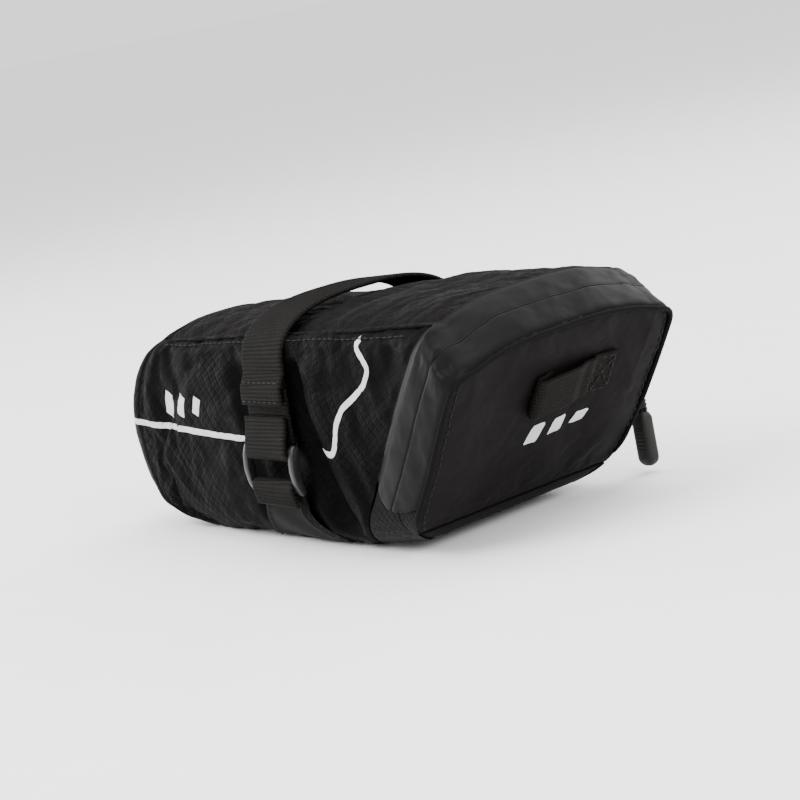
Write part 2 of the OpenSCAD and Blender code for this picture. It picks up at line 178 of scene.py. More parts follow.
# UVs are in metres, so a pitch of 0.004 is four millimetres.
def ripstop(name, dark, light, cell=0.0042, depth=0.00022, rough=0.5):
    n = Nodes(name)
    u, v = n.coords()
    warp = n.math("MULTIPLY_ADD", n.noise(60, 2), 0.0012, -0.0006)
    a = n.math("DIVIDE", n.math("ADD", n.math("ADD", u, v), warp), cell)
    b = n.math("DIVIDE", n.math("ADD", n.math("SUBTRACT", u, v), warp), cell)
    ta, tb = frac_tri(n, a), frac_tri(n, b)
    low = n.math("SMOOTH_MIN", ta, tb, 0.25)
    pillow = n.math("SMOOTH_MIN", n.math("MULTIPLY", low, 2.4), 1.0, 0.5)
    mask = n.math("MINIMUM", n.math("MAXIMUM", n.math("MULTIPLY_ADD", n.noise(16, 2), 3.4, -1.15), 0.25), 1.0)
    pillow = n.math("MULTIPLY", pillow, mask)
    weave = n.math("MULTIPLY", frac_tri(n, n.math("DIVIDE", u, 0.00045)),
        frac_tri(n, n.math("DIVIDE", v, 0.00045)))
    cellid = n.new("ShaderNodeTexWhiteNoise", noise_dimensions="2D")
    cmb = n.new("ShaderNodeCombineXYZ")
    n.link(n.math("FLOOR", a), cmb.inputs[0])
    n.link(n.math("FLOOR", b), cmb.inputs[1])
    n.link(cmb.outputs[0], cellid.inputs["Vector"])
    # tone is lighter on the raised cells and darker in the grooves between them: painted groove shade over
    # the real ripstop grid; the noise mask limits it to patches, and the cell and noise terms are random tone
    tone = n.math("ADD", n.math("MULTIPLY", pillow, 0.35),
        n.math("ADD", n.math("MULTIPLY", cellid.outputs["Value"], 0.2),
                  n.math("MULTIPLY", n.noise(9, 4), 0.45)))
    nb = n.bump(weave, 0.00008, 0.5)
    nb = n.bump(pillow, depth, 0.9, nb)
    r = n.math("MULTIPLY_ADD", n.noise(35, 3), 0.22, rough - 0.11)
    r = n.math("ADD", r, n.math("MULTIPLY_ADD", cellid.outputs["Value"], 0.14, -0.07))
    return n.out(n.ramp(tone, [(0.15, dark), (0.85, light)]), r, nb, spec=0.018)


def plain_weave(name, dark, light, pitch=0.0007, rough=0.62, slub=0.5):
    n = Nodes(name)
    u, v = n.coords()
    wu, wv = frac_tri(n, n.math("DIVIDE", u, pitch)), frac_tri(n, n.math("DIVIDE", v, pitch * 1.15))
    w = n.math("MULTIPLY", wu, wv)
    tone = n.math("ADD", n.math("MULTIPLY", w, 0.4), n.math("MULTIPLY", n.noise(14, 5), 0.6))
    nb = n.bump(w, 0.00016, slub)
    nb = n.bump(n.noise(90, 3), 0.0004, 0.35, nb)
    r = n.math("MULTIPLY_ADD", n.noise(20, 3), 0.2, rough - 0.1)
    return n.out(n.ramp(tone, [(0.15, dark), (0.85, light)]), r, nb, spec=0.03)


def coated(name, dark, light, rough=0.38):
    n = Nodes(name)
    fine = n.noise(900, 2)
    nb = n.bump(fine, 0.00005, 0.5)
    nb = n.bump(n.noise(45, 3), 0.0009, 0.5, nb)
    r = n.math("MULTIPLY_ADD", n.noise(30, 4), 0.2, rough - 0.1)
    return n.out(n.ramp(n.noise(12, 3), [(0.2, dark), (0.8, light)]), r, nb, spec=0.045)


def webbing_mat(name, dark, light, pitch, along=False):
    n = Nodes(name)
    u, v = n.coords()
    if along:
        u, v = v, u
    row = frac_tri(n, n.math("DIVIDE", v, pitch))
    yarn = frac_tri(n, n.math("ADD", n.math("DIVIDE", u, 0.0008), n.math("DIVIDE", v, 0.0034)))
    h = n.math("ADD", n.math("MULTIPLY", row, 0.6), n.math("MULTIPLY", yarn, 0.4))
    tone = n.math("ADD", n.math("MULTIPLY", h, 0.6), n.math("MULTIPLY", n.noise(40, 4), 0.4))
    nb = n.bump(h, 0.0003, 0.8)
    r = n.math("MULTIPLY_ADD", n.noise(60, 3), 0.2, 0.5)
    return n.out(n.ramp(tone, [(0.1, dark), (0.9, light)]), r, nb, spec=0.03)


def reflect_mat(name):
    n = Nodes(name)
    u, v = n.coords()
    grid = n.math("MULTIPLY", frac_tri(n, n.math("DIVIDE", u, 0.0006)),
        frac_tri(n, n.math("DIVIDE", v, 0.0006)))
    tone = n.math("ADD", n.math("MULTIPLY", n.noise(160, 4), 0.7), n.math("MULTIPLY", grid, 0.3))
    nb = n.bump(grid, 0.00006, 0.5)
    return n.out(n.ramp(tone, [(0.2, (0.4, 0.41, 0.43)), (0.8, (0.62, 0.63, 0.65))]),
                 n.math("MULTIPLY_ADD", n.noise(120, 2), 0.2, 0.35), nb, spec=0.5, metal=0.15)


def plastic_mat(name, base, rough, grain=0.00004, spec=0.2):
    n = Nodes(name)
    nb = n.bump(n.noise(2600, 2, uv=False), grain, 0.6)
    lo = tuple(c * 0.7 for c in base)
    hi = tuple(c * 1.35 for c in base)
    r = n.math("MULTIPLY_ADD", n.noise(180, 3, uv=False), 0.16, rough - 0.08)
    return n.out(n.ramp(n.noise(120, 3, uv=False), [(0.25, lo), (0.75, hi)]), r, nb, spec=spec)


def thread_mat(name, base):
    n = Nodes(name)
    w = n.new("ShaderNodeTexWave", wave_type="BANDS", bands_direction="DIAGONAL")
    n.link(n.uv.outputs["Object"], w.inputs["Vector"])
    w.inputs["Scale"].default_value = 1400
    nb = n.bump(w.outputs["Fac"], 0.0001, 0.6)
    hi = tuple(c * 1.8 for c in base)
    return n.out(n.ramp(w.outputs["Fac"], [(0.2, base), (0.9, hi)]), 0.55, nb, spec=0.12)


RIB = 0.00132
M = dict(
    side=ripstop("side_ripstop", (0.0009, 0.0008, 0.0009), (0.0034, 0.003, 0.0033)),
    # the top copy of the ripstop gets a lighter colour than the side copy: painted light falling on the top
    # panel
    top=ripstop("top_ripstop", (0.0022, 0.0019, 0.0019), (0.0072, 0.0063, 0.0062), rough=0.55),
    patch=ripstop("mesh_patch", (0.0025, 0.0024, 0.0026), (0.0105, 0.0102, 0.0106), cell=0.003,
        depth=0.0005, rough=0.42),
    panel=plain_weave("panel_weave", (0.0042, 0.0036, 0.0036), (0.0105, 0.0092, 0.0092)),
    wing=plain_weave("wing_weave", (0.0045, 0.0042, 0.004), (0.0105, 0.0098, 0.0092), rough=0.55),
    band=coated("band_film", (0.003, 0.003, 0.0031), (0.0058, 0.0058, 0.0059)),
    tape=plain_weave("zip_tape", (0.003, 0.003, 0.003), (0.008, 0.008, 0.008), pitch=0.0005),
    web=webbing_mat("webbing", (0.0008, 0.0007, 0.0006), (0.0105, 0.0098, 0.0088), RIB),
    elastic=webbing_mat("loop_webbing", (0.0008, 0.0007, 0.0006), (0.0105, 0.0098, 0.0088), 0.0012, True),
    pipe=plain_weave("piping", (0.0025, 0.0024, 0.0024), (0.006, 0.0058, 0.0058), pitch=0.0005),
    reflect=reflect_mat("reflective_film"),
    thread=thread_mat("thread", (0.009, 0.0085, 0.0085)),
    buckle=plastic_mat("buckle_plastic", (0.009, 0.009, 0.0095), 0.34, spec=0.35),
    coil=plastic_mat("zip_coil", (0.007, 0.007, 0.007), 0.33),
    slider=plastic_mat("slider_paint", (0.01, 0.01, 0.0105), 0.32),
    grip=plastic_mat("grip_rubber", (0.007, 0.0066, 0.0062), 0.5, grain=0.00012),
    cord=thread_mat("cord_braid", (0.006, 0.006, 0.006)),
    lining=plain_weave("lining", (0.008, 0.008, 0.0085), (0.018, 0.018, 0.0185), pitch=0.0009, rough=0.7),
)


# ---- mesh helpers ----
def mesh_obj(name, verts, faces, mat, body, uv=None, smooth=True):
    me = bpy.data.meshes.new(name)
    me.from_pydata([tuple(p) for p in verts], [], faces)
    me.validate()
    if uv is not None:
        lay = me.uv_layers.new(name="uv")
        for l in me.loops:
            lay.data[l.index].uv = uv[l.vertex_index]
    me.polygons.foreach_set("use_smooth", [smooth] * len(me.polygons))
    me.update()
    o = bpy.data.objects.new(name, me)
    bpy.context.scene.collection.objects.link(o)
    me.materials.append(mat)
    if body:
        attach(o, body)
    return o


def grid_uv(g):
    """Arc-length coordinates of a grid [rows][cols][3], in metres."""
    du = np.linalg.norm(np.diff(g, axis=1), axis=2)
    dv = np.linalg.norm(np.diff(g, axis=0), axis=2)
    u = np.concatenate([np.zeros((g.shape[0], 1)), np.cumsum(du, 1)], 1)
    v = np.concatenate([np.zeros((1, g.shape[1])), np.cumsum(dv, 0)], 0)
    u = u - u[:, -1:] / 2
    return np.stack([u, v], 2)


def grid_faces(n, m, flip=False):
    f = []
    for i in range(n - 1):
        for j in range(m - 1):
            q = (i * m + j, i * m + j + 1, (i + 1) * m + j + 1, (i + 1) * m + j)
            f.append(q[::-1] if flip else q)
    return f


def grid_normals(g):
    du, dv = np.gradient(g, axis=1), np.gradient(g, axis=0)
    n = np.cross(du, dv)
    return n / np.maximum(np.linalg.norm(n, axis=2, keepdims=True), 1e-12)


def outward(g, centre):
    n = grid_normals(g)
    s = np.sign(((g - centre) * n).sum(2).mean())
    return n * (s if s else 1)


CENTRE = np.array([-0.01, 0, 0.036])


def sheet(name, g, mat, body, thick=0.0012, centre=CENTRE, uv=None):
    """A grid of points as cloth with a thickness on its inner side."""
    n, m = g.shape[:2]
    g = np.array(g)
    g[..., 2] = np.maximum(g[..., 2], 0)
    nn = grid_normals(g)
    flip = ((g - centre) * nn).sum(2).mean() < 0
    uvs = (grid_uv(g) if uv is None else uv).reshape(-1, 2)
    o = mesh_obj(name, g.reshape(-1, 3), grid_faces(n, m, flip), mat, None, uvs)
    if thick:
        o.data.materials.append(M["lining"])
        md = o.modifiers.new("thickness", "SOLIDIFY")
        md.thickness, md.offset = thick, -1
        vg = o.vertex_groups.new(name="thickness")
        for i in range(n):
            for j in range(m):
                vg.add([i * m + j], min(1, min(i, n - 1 - i, j, m - 1 - j) / 3), "REPLACE")
        md.vertex_group = "thickness"
        md.use_even_offset = False
        md.material_offset, md.material_offset_rim = 1, 0
    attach(o, body)
    return o


def edge_roll(g, dist_mm=1.6, depth=0.0009, sides="lrtb"):
    """Pull the borders of a panel in, as at a sewn seam."""
    nn = outward(g, CENTRE)
    u, v = grid_uv(g)[..., 0], grid_uv(g)[..., 1]
    d = np.full(g.shape[:2], 9.0)
    if "l" in sides: d = np.minimum(d, (u - u[:, :1]))
    if "r" in sides: d = np.minimum(d, (u[:, -1:] - u))
    if "b" in sides: d = np.minimum(d, (v - v[:1]))
    if "t" in sides: d = np.minimum(d, (v[-1:] - v))
    out = g - nn * (depth * np.exp(-(d / (dist_mm * MM)) ** 1.5))[..., None]
    to = CENTRE - g
    to = g + to / np.linalg.norm(to, axis=2, keepdims=True) * 0.0005
    edge = d <= 0
    out[edge] = to[edge]
    return out


def fbm(p, scale, seed=0.0, octaves=3):
    return noise.fractal(V((p[0] * scale + seed, p[1] * scale + seed * 1.7, p[2] * scale - seed)), 0.9, 2.1,
        octaves)


def relax(name, g, slack, cap, pressure=0.0, frames=14, pin=None, seed=0.0, push=0.0004):
    """Cloth simulation of a sewn panel: more fabric than its frame, borders held."""
    n, m = g.shape[:2]
    nn = outward(g, CENTRE)
    start = g.copy()
    for i in range(n):
        for j in range(m):
            if 0 < i < n - 1 and 0 < j < m - 1:
                start[i, j] += nn[i, j] * push * fbm(g[i, j], 90, seed)
    me = bpy.data.meshes.new(name)
    me.from_pydata([tuple(p) for p in start.reshape(-1, 3)], [], grid_faces(n, m))
    o = bpy.data.objects.new(name, me)
    bpy.context.scene.collection.objects.link(o)
    vg = o.vertex_groups.new(name="pin")
    w = np.zeros((n, m))
    w[:2], w[-2:], w[:, :2], w[:, -2:] = 1, 1, 1, 1
    if pin is not None:
        w = np.maximum(w, pin)
    for k, x in enumerate(w.reshape(-1)):
        if x > 0:
            vg.add([k], float(x), "REPLACE")
    md = o.modifiers.new("cloth", "CLOTH")
    s = md.settings
    s.quality = 6
    s.mass = 0.2
    s.tension_stiffness = s.compression_stiffness = 18
    s.shear_stiffness = 8
    s.bending_stiffness = 0.35
    s.air_damping = 4
    s.vertex_group_mass = "pin"
    s.shrink_min = -slack
    s.effector_weights.gravity = 0
    if pressure:
        s.use_pressure = True
        s.uniform_pressure_force = pressure
    md.collision_settings.use_collision = False
    sc = bpy.context.scene
    md.point_cache.frame_start, md.point_cache.frame_end = 1, frames
    for f in range(1, frames + 1):
        sc.frame_set(f)
    ev = o.evaluated_get(bpy.context.evaluated_depsgraph_get())
    co = np.zeros(n * m * 3)
    ev.data.vertices.foreach_get("co", co)
    q = co.reshape(n, m, 3)
    sc.frame_set(1)
    bpy.data.objects.remove(o)
    d = q - g
    ln = np.linalg.norm(d, axis=2, keepdims=True)
    d = np.where(np.isfinite(d), d, 0) * np.minimum(1, cap / np.maximum(ln, 1e-9))
    return g + d


def sweep(name, c, a, n, sec, mat, body, closed_ends=True, uv0=0.0):
    """Sweep a closed section (list of (across, out)) along points c with axes a, n."""
    c, a, n = np.array(c), np.array(a), np.array(n)
    sec = np.array(sec)
    k = len(sec)
    rows = len(c)
    if sec.ndim == 2:
        sec = np.repeat(sec[None], rows, 0)
        k = sec.shape[1]
    else:
        k = sec.shape[1]
    pts = c[:, None] + a[:, None] * sec[..., :1] + n[:, None] * sec[..., 1:2]
    ln = np.concatenate([[0], np.cumsum(np.linalg.norm(np.diff(c, axis=0), axis=1))]) + uv0
    uv = np.stack([sec[..., 0], np.repeat(ln[:, None], k, 1)], 2)
    f = []
    for i in range(rows - 1):
        for j in range(k):
            j2 = (j + 1) % k
            f.append((i * k + j, i * k + j2, (i + 1) * k + j2, (i + 1) * k + j))
    if closed_ends:
        f.append(tuple(range(k))[::-1])
        f.append(tuple((rows - 1) * k + j for j in range(k)))
    o = mesh_obj(name, pts.reshape(-1, 3), f, mat, body, uv.reshape(-1, 2))
    bm_fix(o)
    return o


def bm_fix(o):
    import bmesh
    bm = bmesh.new()
    bm.from_mesh(o.data)
    bmesh.ops.recalc_face_normals(bm, faces=bm.faces)
    bm.to_mesh(o.data)
    bm.free()


def tube(name, pts, r, mat, body, k=10, closed=False):
    p = np.array(pts, float)
    rows = len(p)
    t = np.gradient(p, axis=0)
    if closed:
        t = (np.roll(p, -1, 0) - np.roll(p, 1, 0)) / 2
    t /= np.linalg.norm(t, axis=1, keepdims=True)
    ref = np.array([0, 1.0, 0]) if abs(t[0][1]) < 0.9 else np.array([1.0, 0, 0])
    u = np.cross(t[0], ref)
    us = []
    for i in range(rows):
        u = u - (u @ t[i]) * t[i]
        u = u / np.linalg.norm(u)
        us.append(u)
    us = np.array(us)
    w = np.cross(t, us)
    rr = np.broadcast_to(np.array(r, float), (rows,))
    ang = np.linspace(0, 2 * np.pi, k, endpoint=False)
    pts3 = p[:, None] + rr[:, None,
        None] * (np.cos(ang)[None, :, None] * us[:, None] + np.sin(ang)[None, :, None] * w[:, None])
    f = []
    last = rows if closed else rows - 1
    for i in range(last):
        i2 = (i + 1) % rows
        for j in range(k):
            j2 = (j + 1) % k
            f.append((i * k + j, i * k + j2, i2 * k + j2, i2 * k + j))
    if not closed:
        f.append(tuple(range(k))[::-1])
        f.append(tuple((rows - 1) * k + j for j in range(k)))
    ln = np.concatenate([[0], np.cumsum(np.linalg.norm(np.diff(p, axis=0), axis=1))])
    uv = np.stack([np.repeat((ang * rr.mean())[None], rows, 0), np.repeat(ln[:, None], k, 1)], 2)
    o = mesh_obj(name, pts3.reshape(-1, 3), f, mat, body, uv.reshape(-1, 2))
    bm_fix(o)
    return o


def resample(p, step):
    p = np.array(p, float)
    ln = np.concatenate([[0], np.cumsum(np.linalg.norm(np.diff(p, axis=0), axis=1))])
    n = max(2, int(round(ln[-1] / step)) + 1)
    s = np.linspace(0, ln[-1], n)
    return np.stack([np.interp(s, ln, p[:, k]) for k in range(3)], 1)


def smooth_path(p, step, k=3):
    q = resample(p, step)
    for _ in range(k):
        q[1:-1] = (q[:-2] + 2 * q[1:-1] + q[2:]) / 4
    return q


stitch_sets = {}


def stitches(body, slot, path, out, length=0.0022, skip=0.0010, r=0.00019, rise=0.00016):
    """Lockstitch dashes along a path; out gives the surface normal at each point."""
    p = np.array(path, float)
    n = np.array(out, float)
    n = np.broadcast_to(n, p.shape)
    ln = np.concatenate([[0], np.cumsum(np.linalg.norm(np.diff(p, axis=0), axis=1))])
    if ln[-1] < length:
        return
    at = lambda s, a: np.array([np.interp(s, ln, a[:, k]) for k in range(3)])
    s = skip / 2
    vs, fs = stitch_sets.setdefault((body, slot), ([], []))
    while s + length < ln[-1]:
        rows = []
        for f in (0, 0.12, 0.35, 0.65, 0.88, 1):
            c, nn = at(s + f * length, p), at(s + f * length, n)
            nn = nn / np.linalg.norm(nn)
            lift = math.sin(math.pi * f) ** 0.5 if 0 < f < 1 else -0.6
            rows.append((c + nn * (rise * lift), nn, r * (0.35 if f in (0, 1) else 1)))
        t = rows[-1][0] - rows[0][0]
        t = t / np.linalg.norm(t)
        base = len(vs)
        for c, nn, rad in rows:
            w = np.cross(t, nn)
            for a in range(6):
                b = a * math.pi / 3
                vs.append(c + rad * (math.cos(b) * w + math.sin(b) * nn))
        for i in range(5):
            for a in range(6):
                a2 = (a + 1) % 6
                fs.append((base + i * 6 + a, base + i * 6 + a2, base + (i + 1) * 6 + a2,
                    base + (i + 1) * 6 + a))
        fs.append(tuple(base + a for a in range(6))[::-1])
        fs.append(tuple(base + 30 + a for a in range(6)))
        s += length + skip


# ---- the bag's shape, in millimetres, from the frame's own boxes ----
def box(n):
    a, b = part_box(n)
    return np.array(a) / MM, np.array(b) / MM


sl, sh = box("side_panel_left")
tl, th = box("top_panel")
bh = box("band_rear")[1]
joint = {j["name"]: j for j in rec["behaviour"]["joints"]}
hinge = np.array(joint["flap_hinge"]["pos_m"]) / MM
pivot = np.array(joint["pull_swing"]["pos_m"]) / MM
WALL, LEAN, SLOPE, TAPER = 1.6, 0.674, 0.69, 0.105
band_x, band_z = sh[0] + 0.12, sh[2]
nose_x, nose_z = -tl[0], tl[2] + WALL
lip_x = bh[0]
foot_x = hinge[0] - 2.8
lip_z = (lip_x - foot_x) / LEAN
crown0 = th[2] - band_z
base_r = 15.0
half0 = -sl[1] + 0.0 - TAPER * 50.5
lift0 = 4.5
so_l, so_h = box("strap_over")
strap_x = (so_l[0] + so_h[0]) / 2
strap_w = so_h[0] - so_l[0]
lean_a = math.atan(LEAN)
bar_c, bar_d = 3.6, 2.4
bk_l, bk_h = box("buckle_left")
lock_top = bk_h[2] - bar_d / 2
low_z = bk_l[2] + bar_d / 2


def lerp(a, b, t):
    return a + (b - a) * t


def edge_z(x):
    if x < band_x:
        return lerp(nose_z, band_z, (x + nose_x) / (band_x + nose_x))
    return lerp(band_z, lip_z, min(1, (x - band_x) / (lip_x - band_x)))


def seam_round(x):
    return 5 + 4 * max(0, min(1, (x - 30) / 45))


def arc_in(r, d):
    return r - math.sqrt(max(0, r * r - (r - d) ** 2)) if d < r else 0


def side_y(x, z):
    return half0 + TAPER * x - 0.0024 * max(0, z - 37) ** 2 - arc_in(base_r,
        max(0, z)) - arc_in(seam_round(x), max(0, edge_z(x) - z))


def row_z(i, h, r):
    if i <= 6:
        return base_r * (1 - math.cos(math.radians(15 * i)))
    if i <= 14:
        return lerp(base_r, h - r, (i - 6) / 8)
    return h - r + r * math.sin(math.radians((i - 14) * 22.5))


def row_a(i):
    return math.radians(-90 + 15 * i if i < 6 else 0 if i <= 14 else (i - 14) * 22.5)


NZ = np.array([0, 0.6, 2.5, 7, 12, 18, 26, 36, 46, 55, 61, 66, 69.5, 71]) * nose_z / 71
NX = np.array([9, 4, -2, -9, -13.4, -16.7, -19.2, -20.2, -19, -15.4, -11.5, -6.8, -3, 0]) - nose_x
FZ = np.array([0, 1.2, 3, 6, 100])
FX = np.array([-3, -0.2, 1.7, 6 * LEAN, 100 * LEAN]) + foot_x


def nose_at(z):
    w = min(3.0, z, nose_z - z)
    return float(np.mean([np.interp(z + k * w / 3, NZ, NX) for k in range(-3, 4)]))


def line_f(i):
    z = row_z(i, band_z, seam_round(band_x))
    return np.array([band_x - SLOPE * (band_z - z), z])


def line_r(i):
    z = row_z(i, lip_z, seam_round(lip_x))
    return np.array([np.interp(z, FZ, FX), z])


def line_n(i):
    z = row_z(i, nose_z, 5)
    return np.array([nose_at(z), z])


def line_m(i):
    if i >= 7:
        return lerp(line_f(i), line_r(i), 0.5)
    t = max(0, (i - 3) / 4)
    return lerp(line_r(i) - [0.4, 0], lerp(line_f(i), line_r(i), 0.5), t ** 0.7)


def lift(p):
    k = max(0, (p[0] - 5) / (foot_x - 5))
    return np.array([p[0], p[1], p[2] + lift0 * min(1, k ** 1.5) * max(0, 1 - p[2] / 30)])


def side_pt(q, i, d):
    a = row_a(i)
    return lift(np.array([q[0], -side_y(q[0], q[1]) - d * math.cos(a), q[1] + d * math.sin(a)]))


def crown(y, x):
    k = min(1, abs(y) / side_y(x, edge_z(x)))
    return (crown0 - 1.6 * math.exp(-((x - strap_x) / 22) ** 2)) * (1 - k ** 3)


def top_pt(q, s, d):
    y = s * side_y(q[0], q[1])
    return np.array([q[0], y, q[1] + crown(y, q[0]) + d])


def bell(x, c, w):
    return math.exp(-((x - c) / w) ** 2)


def flip_y(g):
    h = g.copy()
    h[..., 1] *= -1
    return h


def ramp01(x, a, b):
    t = min(1, max(0, (x - a) / (b - a)))
    return t * t * (3 - 2 * t)


def side_fold(x, z):
    """How far the side stands out (+) or is drawn in (-) by the strap, in mm."""
    low = ramp01(z, 3, 12)
    live = low * (1 - ramp01(z, 61, 67))
    d = -1.9 * bell(x, strap_x, 14) * live
    fall = max(0, 55 - z)
    c = strap_x + strap_w / 2 + 3.2 + 0.14 * fall + 0.004 * fall ** 2
    d += live * (-5.8 * bell(x, c, 3.8 + 0.05 * fall) + 1.3 * bell(x, c + 13 + 0.1 * fall, 6))
    d += low * (1 - ramp01(z, 22, 44)) * (-1.5 * bell(x, c + 22, 3.4) + 0.9 * bell(x, c + 28.5, 4))
    d -= 1.6 * bell(z, (lock_top + low_z) / 2, 7) * bell(x, strap_x, 11)
    f = strap_x - strap_w / 2 - 3.5 - 0.1 * (z - 30)
    d += live * (-1.5 * bell(x, f, 3.6) + 0.7 * bell(x, f - 8, 5))
    d += 0.8 * bell(z, 63 + 0.03 * x, 3) * bell(x, 10, 18) - 0.9 * bell(z, 56 + 0.05 * x, 2.2) * bell(x, 16,
        12)
    return d


ROWS = np.concatenate([np.linspace(0, 6, 20)[:-1], np.linspace(6, 14, 34)[:-1], np.linspace(14, 18, 14)])
bvh_src = []


def side_piece(s):
    nu = 112
    g = np.zeros((len(ROWS), nu, 3))
    pin = np.zeros(g.shape[:2])
    for a, i in enumerate(ROWS):
        qf, qn = line_f(i), line_n(i)
        for b in range(nu):
            q = lerp(qn, qf, b / (nu - 1))
            e = min(1, b / 6, (nu - 1 - b) / 6, (18 - i) / 1.5)
            d = side_fold(q[0], q[1]) * max(0, e) + 0.5 * fbm(q.tolist() + [s * 3], 0.035, 4.0 + s) * max(0,
                e)
            g[a, b] = side_pt(q, i, d)
            if abs(q[0] - strap_x) < strap_w / 2 + 1.5 and q[1] > 2:
                pin[a, b] = 1
    g *= MM
    g = relax("side_cloth", g, 0.012, 0.0022, 0.25, pin=pin, seed=2.0 + s)
    g = edge_roll(g, 1.5, 0.0008)
    if s > 0:
        g = flip_y(g)
    side = "left" if s < 0 else "right"
    o = sheet("side_cloth_" + side, g, M["side"], "bag")
    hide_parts("side_panel_" + side)
    bvh_src.append((g, s))
    nn = outward(g, CENTRE)
    row = g[-8] + nn[-8] * 0.0002
    stitches("bag", "ripstop", smooth_path(row[4:-4], 0.001, 2), np.array([0, s * 0.8, 0.6]))
    return g


side_grids = {s: side_piece(s) for s in (-1, 1)}


def nose_piece():
    nf = 26
    cols = []
    for k in range(nf):
        cols.append(("l", 90 * (k / nf) ** 1.0))
    mid = 14
    for k in range(mid + 1):
        cols.append(("m", -1 + 2 * k / mid))
    for k in range(nf - 1, -1, -1):
        cols.append(("r", 90 * (k / nf)))
    g = np.zeros((len(ROWS), len(cols), 3))
    for a, i in enumerate(ROWS):
        q = line_n(i)
        y = side_y(q[0], q[1])
        bulge = 14 * max(0.08, math.sin(math.pi * min(1, q[1] / nose_z)) ** 0.6) * (1 - ramp01(i, 16.5, 18))
        rise = ramp01(i, 13.5, 18)
        for b, (w, f) in enumerate(cols):
            if w == "m":
                x, yy = q[0] - bulge * (1 + 0.1 * (1 - f * f)), f * (y - bulge)
            else:
                r = math.radians(f)
                x = q[0] - bulge * math.sin(r)
                yy = (y - bulge * (1 - math.cos(r))) * (-1 if w == "l" else 1)
            g[a, b] = (x, yy, q[1] + rise * crown(yy, q[0]))
    g *= MM
    g = relax("nose_cloth", g, 0.01, 0.0018, 0.2, seed=7.0)
    g = edge_roll(g, 1.3, 0.0006)
    o = sheet("nose_cloth", g, M["side"], "bag")
    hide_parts("nose_panel")
    return g


nose_grid = nose_piece()


def top_piece():
    nu, ns = 112, 64
    g = np.zeros((ns, nu, 3))
    a, b = line_n(18), line_f(18)
    for i in range(ns):
        s = -1 + 2 * i / (ns - 1)
        for j in range(nu):
            q = lerp(a, b, j / (nu - 1))
            e = min(1, j / 6, (nu - 1 - j) / 6, (1 - abs(s)) * 8)
            d = -0.3 + e * 0.7 * fbm([q[0], s * 35, 0], 0.04, 9.0)
            d += e * 1.3 * (bell(q[0], strap_x + 19, 5) - bell(q[0], strap_x + 29, 6)) * (1 - abs(s)) ** 0.5
            d += e * 1.1 * bell(q[0] - 14 * s, strap_x + 44, 5) * (1 - s * s)
            g[i, j] = top_pt(q, s, d)
    g *= MM
    g = relax("top_cloth", g, 0.01, 0.0014, 0.1, seed=12.0)
    g = edge_roll(g, 1.5, 0.0008, "lrtb")
    o = sheet("top_cloth", g, M["top"], "bag")
    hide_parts("top_panel")
    return g


top_piece()


def bottom_piece():
    nu, ns = 90, 46
    xs = [("flat", lerp(line_n(0), line_r(0), k / (nu - 1))) for k in range(nu)]
    lips = [("lip", i) for i in np.linspace(0, 3, 12)[1:]]
    g = np.zeros((ns, nu + len(lips), 3))
    for i in range(ns):
        s = -1 + 2 * i / (ns - 1)
        for j, (w, q) in enumerate(xs + lips):
            row = 0 if w == "flat" else q
            p = q if w == "flat" else line_r(q)
            wd = side_y(p[0], p[1]) - (0 if row == 0 else 0.4 * min(1, row))
            g[i, j] = lift(np.array([p[0], s * wd, p[1]]))
            if w == "flat":
                g[i, j, 2] += 0.25 * abs(fbm([p[0], s * 30, 0], 0.05, 5.0)) * (1 - s * s)
    g = edge_roll(g * MM, 1.0, 0.0003, "bt")
    o = sheet("base_cloth", g[:, :nu - 2], M["side"], "bag")
    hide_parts("bottom_panel")
    sheet("base_lip", g[:, nu - 3:], M["panel"], "bag")


bottom_piece()


# ---- zip band, end patches and gussets ----
def band_profile(t):
    return 0.9 * math.sin(math.pi * min(1, max(0, t))) ** 0.7


def ring_point(t, kind, w, d):
    if kind == "side":
        return side_pt(lerp(line_f(w), line_r(w), t), w, d)
    if kind == "top":
        return top_pt(lerp(line_f(18), line_r(18), t), w, d)
    p = side_pt(lerp(line_f(w), line_r(w), t), w, d)
    return np.array([p[0], -p[1], p[2]])


def ring_list(i0):
    a = [("side", i) for i in np.concatenate([np.linspace(i0, 14, 44)[:-1], np.linspace(14, 18, 18)])]
    return a + [("top", s) for s in np.linspace(-1, 1, 72)[1:-1]] + [("other", i) for _, i in a[::-1]]


def band_piece(name, node, body, t0, t1, seed):
    nt = 24
    n = len(ring_list(7))
    g = np.zeros((nt, n, 3))
    for a in range(nt):
        t = lerp(t0, t1, a / (nt - 1))
        i0 = 7.7 - 1.35 * t - 0.9 * math.sin(math.pi * min(1, t * 1.02)) ** 0.8
        for b, (kind, w) in enumerate(ring_list(i0)):
            corner = bell(w, 16.2, 2.2) if kind != "top" else bell(abs(w), 1, 0.16)
            pos = ring_point(t, kind, w, 0)
            wr = fbm(pos, 0.05, seed) * 0.5 + fbm(pos, 0.13, seed + 3) * 0.7 * corner
            wr -= 1.0 * bell(w if kind != "top" else 18, 16.4, 0.5) * bell(t, 0.72, 0.16)
            low = 0.2 * fbm(pos, 0.1, seed + 8)
            dz = -0.3 * math.exp(-abs(t - 0.5) / 0.012)
            g[a, b] = ring_point(t, kind, w,
                0.15 * min(1, 8 * t, 8 * (1 - t)) + band_profile(t)
                    + (wr + low) * min(1, 6 * t, 6 * (1 - t)) + dz)
    g *= MM
    edge = "b" if t0 == 0 else "t"
    g = edge_roll(g, 1.2, 0.0008, edge)
    o = sheet(name, g, M["band"], body, 0.0011)
    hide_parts(node)
    return g


band_piece("zip_band_front", "band_front", "bag", 0.0, 0.4955, 21.0)
band_piece("zip_band_rear", "band_rear", "rear_flap", 0.5045, 1.0, 21.0)


